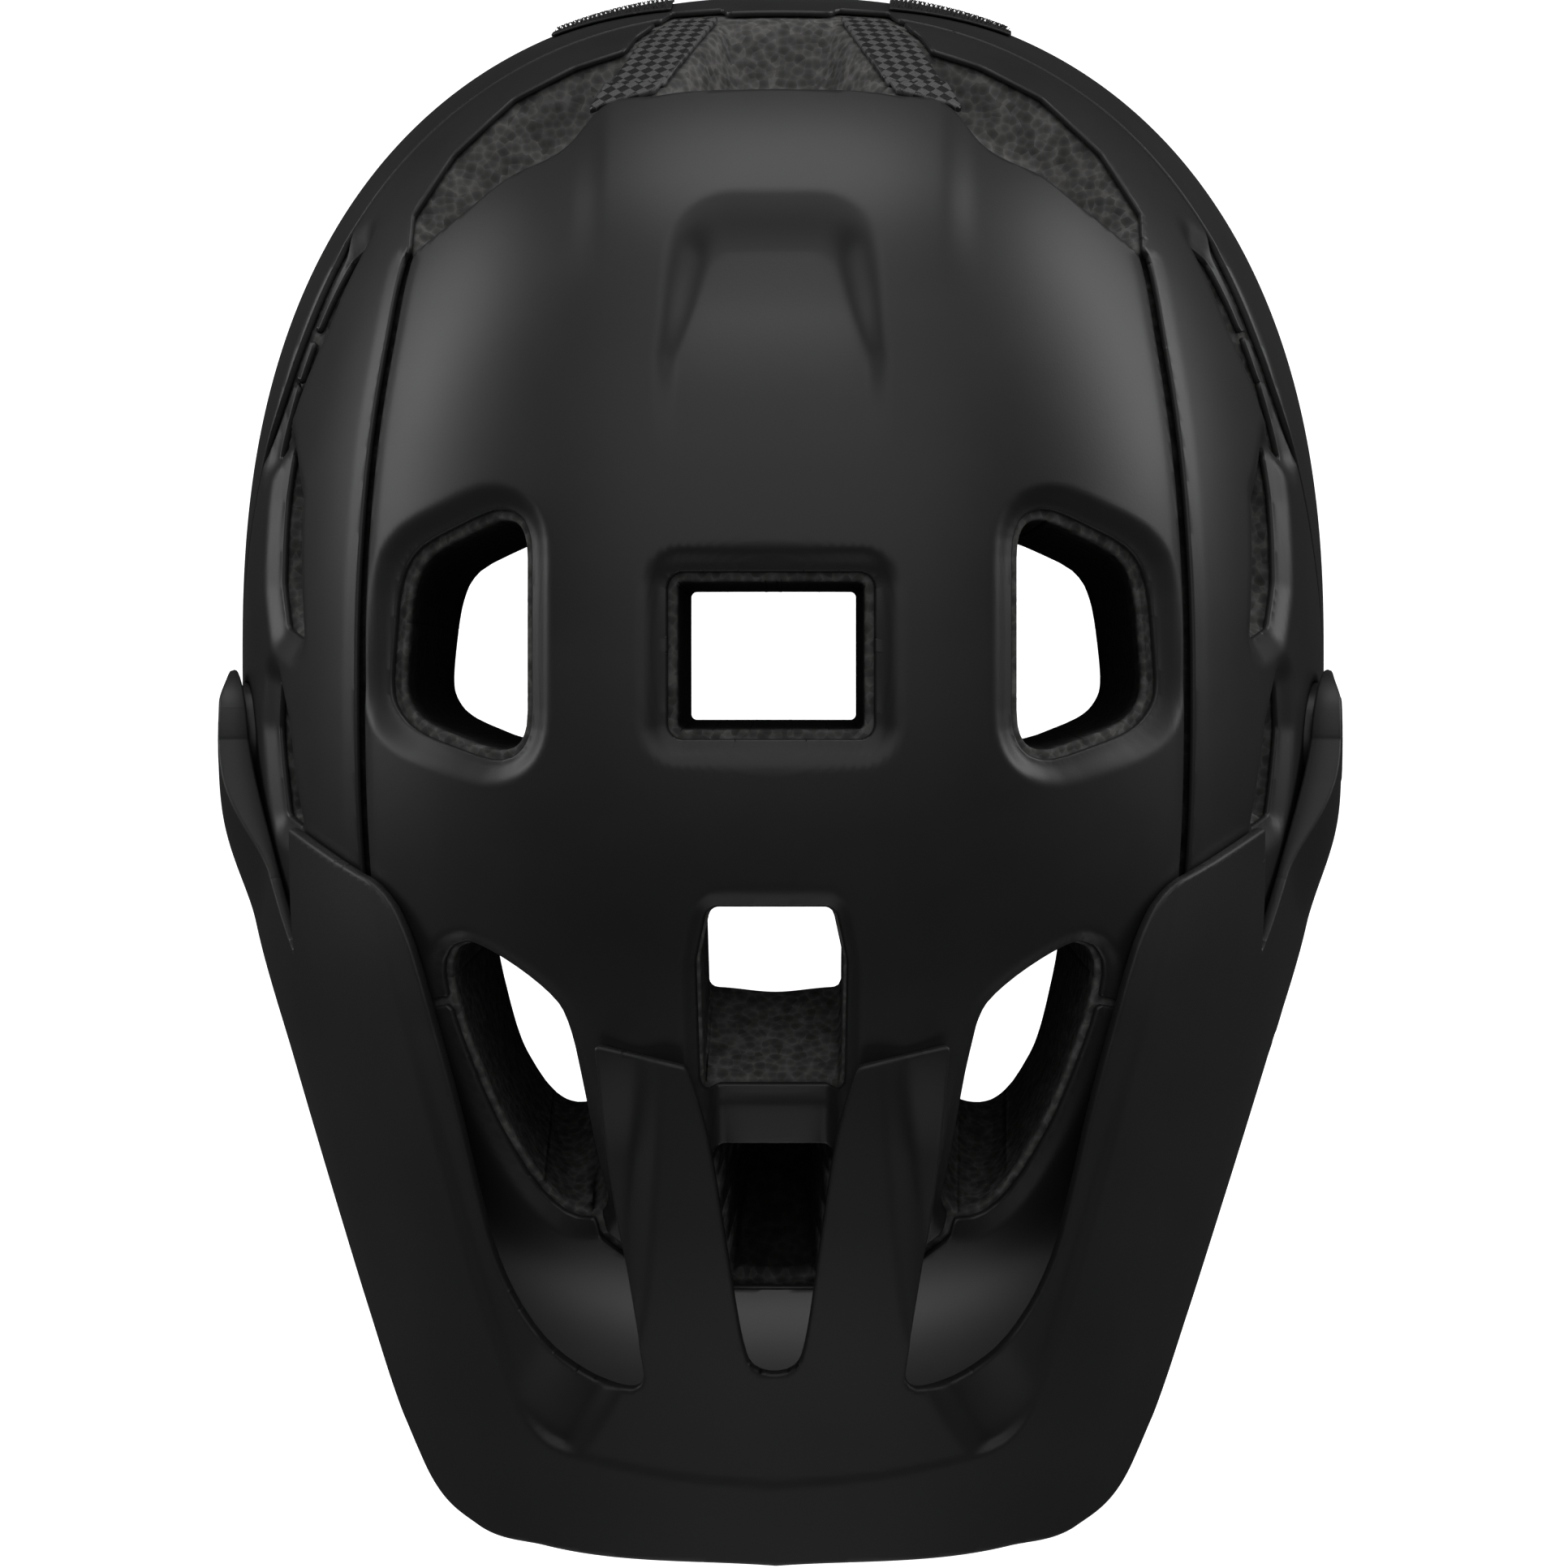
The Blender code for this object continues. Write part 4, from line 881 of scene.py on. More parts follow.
HOOK_PITCH = 0.8
HOOK_HEIGHT = 0.75
HOOK_RADIUS = 0.09
HOOK_BEND = 0.9
HOOK_SIDES = 5
HOOK_SHARES = (0.0, 0.5, 0.85, 1.0)
TAPE_TOP = 0.8
TAPE_UNDERSIDE = 0.3
TAPE_NEAR_X = 21.0
TAPE_FAR_X = 44.5
TAPE_TOP_Z = 39.2
TAPE_SLOPE = 0.45
TAPE_HEIGHT = 24.0
TAPE_LATITUDES = (-0.02, 0.36)
TAPE_WINDOW_SIZE = (33, 46)


def hook_pad_field(x, y, z):
    """A patch of hook tape on the rear shell."""
    reach = np.abs(x)
    top = TAPE_TOP_Z - TAPE_SLOPE * (reach - TAPE_NEAR_X)
    return lowest(reach - TAPE_NEAR_X, TAPE_FAR_X - reach, top - z, z - top + TAPE_HEIGHT)


def hook(foot, up, sideways):
    """Points of one bent bristle: rings of a thin tube along an arc."""
    across = np.cross(up, sideways)
    rings = []
    for share in HOOK_SHARES:
        bend = share * share * HOOK_BEND
        centre = foot + up * HOOK_HEIGHT * (share - 0.18 * bend) + sideways * bend * 0.35
        for step in range(HOOK_SIDES):
            angle = 2 * math.pi * step / HOOK_SIDES
            radius = HOOK_RADIUS * (1.15 - 0.35 * share)
            rings.append(centre + radius * (math.cos(angle) * sideways + math.sin(angle) * across))
    return rings


def make_hook_pads():
    """Backing tape and its field of hooks, one pad on either side."""
    rng = np.random.default_rng(7)
    for side, name in SIDES:
        outer = skin(lambda x, y, z: -TAPE_TOP + 0.0 * x)
        inner = skin(lambda x, y, z: -TAPE_UNDERSIDE + 0.0 * x)
        window = (mirrored(side, (68, 84)), TAPE_LATITUDES)
        made = sheet(
            f"hook_tape_{name}", outer, inner, on_shell(hook_pad_field), "hook_tape",
            window=window, steps=(50, 50), closed=False, lip=0.2,
        )
        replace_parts(made, f"hook_pad_{name}")
        grid = [np.linspace(*ends, int(size / HOOK_PITCH)) for ends, size in zip(window, TAPE_WINDOW_SIZE)]
        places = np.stack(np.meshgrid(*grid), axis=-1).reshape(-1, 2)
        places = places + rng.normal(0.0, 0.0006, places.shape)
        places = places[on_shell(hook_pad_field)(places) > 0.8]
        feet, ups = outer(places), shell_normal(shell_point(places[:, 0], places[:, 1]))
        points, faces = [], []
        for number, (foot, up) in enumerate(zip(feet, ups)):
            turn = Vector(np.cross(up, (0, 0, 1))).normalized() * (1 if number % 2 else -1)
            faces += tube_faces(len(points), len(HOOK_SHARES), HOOK_SIDES)
            points += hook(foot, up, np.array(turn))
        new_mesh(f"hooks_{name}", np.array(points), np.array(faces), "hook_tape", "helmet")


# ---------------------------------------------------------------- visor

def visor_base(params):
    """Point of the visor's plain arch: across is an angle over the top, along is Y."""
    across, along = params[:, 0], params[:, 1] * VISOR_SCALE
    edge_x = smooth_curve(along, VISOR_EDGE_X)
    edge_z = smooth_curve(along, VISOR_EDGE_Z)
    base = edge_z - VISOR_DROP
    rise = smooth_curve(along, VISOR_TOP_Z) - base
    half_width = edge_x / (1 - (VISOR_DROP / rise) ** VISOR_POWER) ** (1 / VISOR_POWER)
    x = half_width * np.sign(np.cos(across)) * np.abs(np.cos(across)) ** (2 / VISOR_POWER)
    z = base + rise * np.abs(np.sin(across)) ** (2 / VISOR_POWER)
    return np.stack([x, along, z], axis=-1)


def visor_relief(x, y, z):
    """Height of the visor's pressed shapes: the step along its rim and the valleys beside its panel."""
    reach = np.abs(x)
    inside_step = -outline_distance(reach, y, VISOR_STEP_OUTLINE)
    beyond = outline_distance(reach, y, VISOR_PANEL_OUTLINE)
    step = STEP_HEIGHT * smooth_step(inside_step, 0.0, 1.0)
    across = smooth_step(beyond, 0.0, VALLEY_RAMP) * (1 - 0.8 * smooth_step(beyond, VALLEY_RAMP, 20.0))
    front = SHALLOW + (1 - SHALLOW) * (1 - smooth_step(-y, 112, 140))
    back = (SHALLOW + (1 - SHALLOW) * smooth_step(-y, 64, 86)) * smooth_step(-y, 56, 64)
    valley = VALLEY_DEPTH * across * front * back * smooth_step(inside_step, 0.0, 2.5)
    return -(step + valley) * (z > STEP_LOWEST)


def eyelet_relief(x, y, z):
    """Sideways height round each pivot: the boss, its recess for the screw's head and the thin tip."""
    reach = np.abs(x)
    from_pivot = pivot_distance(y, z)
    boss = np.maximum(BOSS_X - reach, 0.0) * (1 - smooth_step(from_pivot, *BOSS_FADE))
    recess = (BOSS_X - RECESS_X) * (1 - smooth_step(from_pivot, RECESS_RADIUS - 0.1, RECESS_RADIUS + 0.5))
    tip = TIP_CHAMFER * smooth_step(y, -1.0, 5.5)
    return (boss - recess - tip) * (reach > ARM_X)


def visor_surface(depth):
    """Surface function of the pressed visor at a depth under its outer face."""
    def surface(params):
        base = visor_base(params)
        normal = surface_normal(visor_base, params)
        normal = np.where((normal[:, 2:] < 0) & (np.abs(base[:, :1]) < SIDE_X), -normal, normal)
        outward = np.einsum("ij,ij->i", normal, base - INSIDE_VISOR)
        normal = normal * np.sign(outward)[:, None]
        moved = base - depth * normal
        moved[:, 2] += visor_relief(*split(base))
        if depth == 0:
            moved[:, 0] += np.sign(base[:, 0]) * eyelet_relief(*split(base))
        return moved
    return surface


def visor_field(params):
    """Inside the visor's outline, clear of the cuts that leave its fins, prongs and arms."""
    x, y, z = split(visor_base(params))
    reach = np.abs(x)
    from_pivot = pivot_distance(y, z)
    return lowest(
        y - smooth_curve(reach, VISOR_FRONT_EDGE),
        z - smooth_curve(y, VISOR_EDGE_Z),
        np.maximum(outline_distance(reach, y, VISOR_BACK_OUTLINE), CUT_LOWEST - z),
        outline_distance(y, z, VISOR_NOTCH),
        np.maximum(PIVOT_Y - y, ARM_RADIUS - from_pivot),
        np.where(reach > BORE_X, from_pivot - BORE_RADIUS, FAR),
    )


def make_visor():
    """Visor, pressed and trimmed."""
    made = sheet(
        "visor_shell", visor_surface(0.0), visor_surface(VISOR_THICKNESS), visor_field, "visor", "visor",
        window=((VISOR_MARGIN, math.pi - VISOR_MARGIN), VISOR_REACH), steps=VISOR_STEPS, closed=False,
        lip=VISOR_LIP,
    )
    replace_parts(made, "visor")


# ---------------------------------------------------------------- moulded parts from the CAD

def cad_copy(node):
    """An editable copy of a CAD node's mesh, its triangles joined."""
    edit = bmesh.new()
    edit.from_mesh(frame["nodes"][node].data)
    bmesh.ops.remove_doubles(edit, verts=edit.verts, dist=MERGE_DISTANCE * MM)
    return edit


def moulded(node, finish, bevel=0.45, segments=3):
    """A copy of a CAD node with rounded edges, in its own material."""
    edit = cad_copy(node)
    bmesh.ops.dissolve_limit(edit, angle_limit=math.radians(2), verts=edit.verts, edges=edit.edges)
    mesh = bpy.data.meshes.new(f"{node}_moulded")
    edit.to_mesh(mesh)
    edit.free()
    mesh.shade_smooth()
    made = place_mesh(mesh.name, mesh, finish, frame["nodes"][node]["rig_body"])
    rounding = made.modifiers.new("rounding", "BEVEL")
    rounding.width = bevel * MM
    rounding.segments = segments
    rounding.limit_method = "ANGLE"
    rounding.angle_limit = math.radians(32)
    rounding.use_clamp_overlap = True
    rounding.harden_normals = True
    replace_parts(made, node)


def make_moulded_parts():
    """Hard parts whose CAD shape is right and only needs rounding and a finish."""
    pairs = ["temple_arm", "temple_anchor", "rack", "strap_anchor_front", "strap_anchor_rear", "divider"]
    pairs += ["divider_lever", "pivot_socket", "visor_screw"]
    for part in pairs:
        for _, name in SIDES:
            moulded(f"{part}_{name}", "nylon")
    for node in ("dial_housing", "housing_cover", "nape_cradle", "height_slider", "height_track", "pinion"):
        moulded(node, "nylon", 0.4)
    moulded("buckle_male", "nylon", 0.5)
    moulded("buckle_female", "nylon", 0.9)
    moulded("dial", "rubber", 0.35, 2)
    moulded("dial_screw", "steel", 0.2)
    moulded("strap_keeper", "rubber", 0.6)


# ---------------------------------------------------------------- belts that slide into the dial housing

def ring_point(params, height, clearance):
    """Point of the retention ring, which slopes down to the rear."""
    azimuth = params[:, 0]
    radius = clearance + plan_radius(azimuth, RING_HALF_WIDTH, RING_HALF_WIDTH, RING_REAR, RING_POWER)
    x, y = radius * np.cos(azimuth), CROWN_Y + radius * np.sin(azimuth)
    z = TEMPLE_Z - RING_SLOPE * (y - TEMPLE_Y) + height
    return np.stack([x, y, z], axis=-1)


def belt_outside(params):
    """Outer face of a belt: a row of ratchet teeth along its middle."""
    tooth = TOOTH_HEIGHT * (np.cos(params[:, 0] * BELT_TEETH) > 0) * (np.abs(params[:, 1]) < 0.2)
    return ring_point(params, params[:, 1] * 10, RING_THICKNESS - 0.2 + tooth)


def make_belts():
    """Ratchet belts between the temple arms and the racks."""
    for side, name in SIDES:
        made = sheet(
            f"belt_band_{name}", belt_outside, lambda params: ring_point(params, params[:, 1] * 10, 0.0),
            lambda params: BELT_HALF_HEIGHT - np.abs(params[:, 1]) * 10, "nylon", None,
            window=(mirrored(side, BELT_AZIMUTHS), (-0.45, 0.45)), steps=(150, 24), closed=False, lip=0.35,
        )
        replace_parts(made, f"belt_{name}")
        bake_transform(made)


# ---------------------------------------------------------------- webbing

def curved(path, steps=24):
    """A smooth curve through three points."""
    first, second, third = (np.array(point, dtype=float) for point in path)
    control = 2 * second - (first + third) / 2
    shares = np.linspace(0, 1, steps)[:, None]
    return (1 - shares) ** 2 * first + 2 * shares * (1 - shares) * control + shares ** 2 * third


def selvedge(share):
    """Half thickness of the webbing at a share of its half width: thicker, rounded edges."""
    swell = 1 + 0.22 * smooth_step(share, 0.72, 0.9)
    return STRAP_THICKNESS / 2 * swell * math.sqrt(max(1 - share ** 14, 0.0)) + 0.05


def ribbon(name, path, body, side):
    """Flat webbing along a path of points in a fore-and-aft plane, with thick selvedges."""
    path = np.array(path, dtype=float)
    lengths = np.concatenate([[0.0], np.cumsum(np.linalg.norm(np.diff(path, axis=0), axis=1))])
    stations = np.linspace(0.0, lengths[-1], max(int(lengths[-1] / 2.0), 8))
    centre = np.stack([np.interp(stations, lengths, path[:, axis]) for axis in range(3)], axis=-1)
    along = unit(np.gradient(centre, axis=0))
    flat = np.array([float(side), 0.0, 0.0])
    across = unit(np.cross(along, flat))
    normal = np.cross(across, along)
    shares = np.linspace(-1, 1, 25)
    profile = [(share, selvedge(abs(share))) for share in shares]
    loop = profile + [(share, -half) for share, half in reversed(profile)]
    rows = [centre + across * share * STRAP_WIDTH / 2 + normal * half for share, half in loop]
    points = np.stack(rows, axis=1).reshape(-1, 3)
    size = len(loop)
    around = np.array([share for share, _ in loop]) * STRAP_WIDTH / 2 * MM
    uv = np.stack(np.meshgrid(around, stations * MM), axis=-1).reshape(-1, 2)
    faces = tube_faces(0, len(stations), size)
    faces += [(0, step + 1, step) for step in range(1, size - 1)]
    return new_mesh(name, points, np.array(faces), "webbing", body, uv)


def make_straps():
    """Side straps from their anchors into the dividers, and the chin straps with the buckle."""
    for side, name in SIDES:
        divider_low, divider_high = box_mm(f"divider_{name}")
        x = (divider_low[0] + divider_high[0]) / 2
        middle = (divider_low[1] + divider_high[1]) / 2
        for place, offset in (("front", -10.5), ("rear", 11.0)):
            low, high = box_mm(f"strap_anchor_{place}_{name}")
            start = (x, (low[1] + high[1]) / 2, low[2] + 1.0)
            bow = (x + side * 1.2, (start[1] + middle + offset) / 2, (start[2] + divider_high[2]) / 2)
            end = (x, middle + offset, divider_high[2] - 4.0)
            made = ribbon(f"webbing_{place}_{name}", curved([start, bow, end]), f"straps_{name}", side)
            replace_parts(made, f"{place}_strap_{name}")
        low, _ = box_mm(f"chin_strap_{name}")
        top = (x, middle, divider_low[2] + 4.0)
        bottom = (x, middle, low[2] + (0.0 if side > 0 else -2.0))
        made = ribbon(f"webbing_chin_{name}", [top, bottom], f"straps_{name}", side)
        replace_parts(made, f"chin_strap_{name}")


# ---------------------------------------------------------------- pads by cloth simulation

PADS = (
    "brow_pad", "crown_pad_centre", "crown_pad_left", "crown_pad_right", "side_pad_left", "side_pad_right",
    "rear_pad_left", "rear_pad_right", "cradle_pad_left", "cradle_pad_right", "chin_pad",
)
PAD_VOXEL = 1.6
PAD_SHRINK = 0.7
PAD_SWELL = 1.3
CLOTH_FRAMES = 14


def pad_start(node):
    """A copy of a pad's CAD solid, slightly smaller and evenly remeshed."""
    edit = cad_copy(node)
    edit.normal_update()
    moves = [vertex.normal * (-PAD_SHRINK * MM) for vertex in edit.verts]
    for vertex, move in zip(edit.verts, moves):
        vertex.co += move
    mesh = bpy.data.meshes.new(f"{node}_fabric")
    edit.to_mesh(mesh)
    edit.free()
    made = new_object(mesh.name, mesh)
    remesh = made.modifiers.new("even", "REMESH")
    remesh.mode = "VOXEL"
    remesh.voxel_size = PAD_VOXEL * MM
    apply_modifiers(made)
    return made


def apply_modifiers(made):
    """Replace an object's mesh with its evaluated mesh and drop the modifiers."""
    graph = bpy.context.evaluated_depsgraph_get()
    mesh = bpy.data.meshes.new_from_object(made.evaluated_get(graph), depsgraph=graph)
    made.modifiers.clear()
    made.data = mesh


def add_cloth(made):
    """Cloth that inflates the pad from inside."""
    cloth = made.modifiers.new("cloth", "CLOTH")
    cloth.settings.quality = 4
    cloth.settings.mass = 0.2
    cloth.settings.tension_stiffness = 8
    cloth.settings.compression_stiffness = 8
    cloth.settings.bending_stiffness = 0.4
    cloth.settings.use_pressure = True
    cloth.settings.uniform_pressure_force = 4.0
    cloth.settings.effector_weights.gravity = 0.0
    cloth.point_cache.frame_start = 1
    cloth.point_cache.frame_end = CLOTH_FRAMES


def coordinates(mesh):
    """Vertex coordinates of a mesh as an array."""
    flat = np.empty(len(mesh.vertices) * 3)
    mesh.vertices.foreach_get("co", flat)
    return flat.reshape(-1, 3)


def make_pads():
    """Every soft pad, swollen by the same run of cloth frames."""
    pads = [pad_start(node) for node in PADS]
    starts = [coordinates(pad.data) for pad in pads]
    for pad in pads:
        add_cloth(pad)
    for number in range(1, CLOTH_FRAMES + 1):
        bpy.context.scene.frame_set(number)
    for pad, start in zip(pads, starts):
        apply_modifiers(pad)
        move = coordinates(pad.data) - start
        length = np.linalg.norm(move, axis=1, keepdims=True)
        capped = move * np.minimum(1.0, PAD_SWELL * MM / np.maximum(length, 1e-9))
        pad.data.vertices.foreach_set("co", (start + capped).ravel())
    bpy.context.scene.frame_set(1)
    for node, pad in zip(PADS, pads):
        relax = pad.modifiers.new("relax", "SMOOTH")
        relax.factor = 0.5
        relax.iterations = 2
        round_up = pad.modifiers.new("round", "SUBSURF")
        round_up.levels = round_up.render_levels = 1
        apply_modifiers(pad)
        pad.data.materials.clear()
        pad.data.materials.append(MATERIALS["padding"])
        pad.data.shade_smooth()
        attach(pad, frame["nodes"][node]["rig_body"])
        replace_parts(pad, node)


# ---------------------------------------------------------------- materials

def new_material(name, colour, roughness, metallic=0.0, specular=0.5):
    """A node material: its tree and its Principled shader."""
    made = bpy.data.materials.new(name)
    made.use_nodes = True
    shader = made.node_tree.nodes["Principled BSDF"]
    shader.inputs["Base Color"].default_value = (*colour, 1.0)
    shader.inputs["Roughness"].default_value = roughness
    shader.inputs["Metallic"].default_value = metallic
    shader.inputs["Specular IOR Level"].default_value = specular
    MATERIALS[name] = made
    return made.node_tree, shader


def add_node(tree, kind, settings=None, **values):
    """A node with some of its settings and input values set."""
    node = tree.nodes.new(kind)
    for key, value in (settings or {}).items():
        setattr(node, key, value)
    for key, value in values.items():
        node.inputs[key.replace("_", " ")].default_value = value
    return node


def place_in_mm(tree, output="Object"):
    """Texture coordinates in millimetres."""
    source = add_node(tree, "ShaderNodeTexCoord")
    mapping = add_node(tree, "ShaderNodeMapping", Scale=(1 / MM, 1 / MM, 1 / MM))
    tree.links.new(source.outputs[output], mapping.inputs["Vector"])
    return mapping.outputs["Vector"]


def noise(tree, vector, size, detail=2.0, roughness=0.5):
    """Noise whose features are about size millimetres."""
    node = add_node(tree, "ShaderNodeTexNoise", Scale=1.0 / size, Detail=detail, Roughness=roughness)
    tree.links.new(vector, node.inputs["Vector"])
    return node.outputs["Fac"]


def voronoi(tree, vector, size, output="Distance"):
    """Cells about size millimetres across."""
    node = add_node(tree, "ShaderNodeTexVoronoi", Scale=1.0 / size)
    tree.links.new(vector, node.inputs["Vector"])
    return node.outputs[output]


def ramp(tree, factor, stops):
    """Colour ramp through (place, colour) stops."""
    node = add_node(tree, "ShaderNodeValToRGB")
    elements = node.color_ramp.elements
    while len(elements) < len(stops):
        elements.new(0.5)
    for element, (place, colour) in zip(elements, stops):
        element.position = place
        element.color = (*colour, 1.0)
    tree.links.new(factor, node.inputs["Fac"])
    return node.outputs["Color"]


def grey(value, warmth=0.0):
    """A grey colour, slightly warm or cool."""
    return (value * (1 + warmth), value, value * (1 - warmth))


def tint(tree, shader, factor, dark, pale, low=0.3, high=0.7):
    """Base colour from a dark to a pale grey as a factor goes from low to high."""
    colour = ramp(tree, factor, ((low, grey(dark)), (high, grey(pale))))
    tree.links.new(colour, shader.inputs["Base Color"])


def gloss(tree, shader, factor, low, high):
    """Roughness from low to high as a factor goes from 0 to 1."""
    node = add_node(tree, "ShaderNodeMapRange", To_Min=low, To_Max=high)
    tree.links.new(factor, node.inputs["Value"])
    tree.links.new(node.outputs["Result"], shader.inputs["Roughness"])


def combined(tree, operation, first, second):
    """Two factors combined by a math operation; either may be a number."""
    node = add_node(tree, "ShaderNodeMath", {"operation": operation})
    for socket, value in zip(node.inputs, (first, second)):
        if isinstance(value, (int, float)):
            socket.default_value = value
        else:
            tree.links.new(value, socket)
    return node.outputs["Value"]


def bump(tree, shader, height, depth, strength=1.0, below=None):
    """Bump of the given depth in millimetres, over an earlier bump if there is one."""
    node = add_node(tree, "ShaderNodeBump", Strength=strength, Distance=depth * MM)
    tree.links.new(height, node.inputs["Height"])
    if below is not None:
        tree.links.new(below, node.inputs["Normal"])
    tree.links.new(node.outputs["Normal"], shader.inputs["Normal"])
    return node.outputs["Normal"]


def multiplied(tree, first, second):
    """Product of two colours."""
    node = add_node(tree, "ShaderNodeMixRGB", {"blend_type": "MULTIPLY"}, Fac=1.0)
    tree.links.new(first, node.inputs["Color1"])
    tree.links.new(second, node.inputs["Color2"])
    return node.outputs["Color"]


BEAD_SIZE = 1.7


def shell_material():
    """Matt polycarbonate with a fine orange peel and faint cloudy gloss."""
    tree, shader = new_material("shell", grey(0.02), 0.42)
    place = place_in_mm(tree)
    clouds = noise(tree, place, 28.0, 3.0)
    tint(tree, shader, clouds, 0.017, 0.022)
    gloss(tree, shader, clouds, 0.38, 0.46)
    bump(tree, shader, noise(tree, place, 0.45), 0.02, 0.5)


def foam_material():
    """Moulded EPS: dark beads with paler skins where they meet, darkened by painted shade in the vents and
    grooves.
    """
    tree, shader = new_material("foam", grey(0.04), 0.82, specular=0.15)
    place = place_in_mm(tree)
    reach = voronoi(tree, place, BEAD_SIZE)
    tone = voronoi(tree, place, BEAD_SIZE, "Color")
    bead = ramp(tree, reach, ((0.2, grey(0.07, 0.02)), (0.5, grey(0.09, 0.02)), (0.75, grey(0.13, 0.02))))
    varied = multiplied(tree, bead, ramp(tree, tone, ((0.2, grey(0.7)), (0.8, grey(1.2)))))
    # Painted shade: the bead colour is multiplied by each point's painted shade value.
    shade = add_node(tree, "ShaderNodeAttribute", {"attribute_name": PAINTED_SHADE}).outputs["Fac"]
    tree.links.new(multiplied(tree, varied, shade), shader.inputs["Base Color"])
    beads = bump(tree, shader, combined(tree, "SUBTRACT", 1.0, reach), 0.3, 0.5)
    bump(tree, shader, noise(tree, place, 0.6, 3.0), 0.06, 0.5, beads)


def visor_material():
    """Moulded visor with a fine matt texture."""
    tree, shader = new_material("visor", grey(0.017), 0.5)
    place = place_in_mm(tree)
    grain = noise(tree, place, 0.4, 3.0, 0.6)
    tint(tree, shader, noise(tree, place, 35.0), 0.015, 0.02)
    gloss(tree, shader, grain, 0.44, 0.56)
    bump(tree, shader, grain, 0.03, 0.6)


TOW_WIDTH = 1.9
TOW_ANGLE = math.radians(33)


def weave_material():
    """Woven tape look: a diagonal basket of paler and darker tows."""
    tree, shader = new_material("weave", grey(0.03), 0.4)
    parts = add_node(tree, "ShaderNodeSeparateXYZ")
    tree.links.new(place_in_mm(tree), parts.inputs["Vector"])
    flat = add_node(tree, "ShaderNodeCombineXYZ")
    tree.links.new(combined(tree, "ABSOLUTE", parts.outputs["X"], 0.0), flat.inputs["X"])
    down = combined(tree, "SUBTRACT", parts.outputs["Y"], parts.outputs["Z"])
    tree.links.new(combined(tree, "MULTIPLY", down, math.sqrt(0.5)), flat.inputs["Y"])
    cells = add_node(tree, "ShaderNodeTexChecker", Scale=1.0 / TOW_WIDTH)
    turn = add_node(tree, "ShaderNodeVectorRotate", Angle=TOW_ANGLE)
    tree.links.new(flat.outputs["Vector"], turn.inputs["Vector"])
    tree.links.new(turn.outputs["Vector"], cells.inputs["Vector"])
    threads = add_node(tree, "ShaderNodeTexWave", Scale=0.8, Distortion=0.4)
    tree.links.new(turn.outputs["Vector"], threads.inputs["Vector"])
    tint(tree, shader, cells.outputs["Fac"], 0.02, 0.09, 0.0, 1.0)
    gloss(tree, shader, cells.outputs["Fac"], 0.34, 0.55)
    tows = bump(tree, shader, cells.outputs["Fac"], 0.12, 0.5)
    bump(tree, shader, threads.outputs["Fac"], 0.05, 0.5, tows)


def nylon_material():
    """Injection-moulded nylon: satin, with a spark-eroded grain."""
    tree, shader = new_material("nylon", grey(0.018), 0.45)
    place = place_in_mm(tree)
    flow = noise(tree, place, 9.0)
    tint(tree, shader, flow, 0.015, 0.023)
    gloss(tree, shader, flow, 0.38, 0.52)
    bump(tree, shader, noise(tree, place, 0.3), 0.025, 0.5)


def webbing_material():
    """Flat-woven polyester: fine ribs across with a herringbone of darker gaps."""
    tree, shader = new_material("webbing", grey(0.02), 0.75, specular=0.3)
    shader.inputs["Sheen Weight"].default_value = 0.25
    shader.inputs["Sheen Roughness"].default_value = 0.5
    place = place_in_mm(tree, "UV")
    parts = add_node(tree, "ShaderNodeSeparateXYZ")
    tree.links.new(place, parts.inputs["Vector"])
    fold = combined(tree, "PINGPONG", parts.outputs["X"], 1.5)
    slant = combined(tree, "ADD", parts.outputs["Y"], fold)
    ribs = combined(tree, "SINE", combined(tree, "MULTIPLY", slant, 2 * math.pi / 0.9), 0.0)
    rows = combined(tree, "SINE", combined(tree, "MULTIPLY", parts.outputs["X"], 2 * math.pi / 0.75), 0.0)
    height = combined(tree, "MULTIPLY_ADD", ribs, 0.35)
    height.node.inputs[2].default_value = 0.5
    weft = combined(tree, "MULTIPLY_ADD", rows, 0.15)
    tree.links.new(height, weft.node.inputs[2])
    tint(tree, shader, weft, 0.008, 0.032, 0.1, 0.9)
    bump(tree, shader, weft, 0.22, 0.8)


def padding_material():
    """Knitted mesh fabric: rows of small open cells over foam."""
    tree, shader = new_material("padding", grey(0.02), 0.9, specular=0.2)
    shader.inputs["Sheen Weight"].default_value = 0.4
    shader.inputs["Sheen Roughness"].default_value = 0.4
    place = place_in_mm(tree)
    cells = voronoi(tree, place, 1.25)
    tint(tree, shader, cells, 0.006, 0.032, 0.05, 0.45)
    open_cells = bump(tree, shader, cells, 0.4, 0.7)
    bump(tree, shader, noise(tree, place, 0.25, 3.0), 0.08, 0.5, open_cells)


def hook_tape_material():
    """Nylon hook tape: translucent-looking dark bristles."""
    tree, shader = new_material("hook_tape", grey(0.012), 0.5)
    grain = noise(tree, place_in_mm(tree), 0.5)
    tint(tree, shader, grain, 0.008, 0.02)
    bump(tree, shader, grain, 0.1, 0.5)


def rubber_material():
    """Over-moulded rubber, softly matt."""
    tree, shader = new_material("rubber", grey(0.016), 0.7)
    grain = noise(tree, place_in_mm(tree), 0.35, 3.0)
    tint(tree, shader, grain, 0.012, 0.02)
    gloss(tree, shader, grain, 0.62, 0.78)
    bump(tree, shader, grain, 0.04, 0.6)


def steel_material():
    """Zinc-plated screw with a lathe-turned face."""
    tree, shader = new_material("steel", grey(0.5), 0.3, metallic=1.0)
    scratches = noise(tree, place_in_mm(tree), 0.2, 4.0, 0.7)
    tint(tree, shader, scratches, 0.38, 0.6)
    gloss(tree, shader, scratches, 0.22, 0.42)
    bump(tree, shader, scratches, 0.01, 0.4)


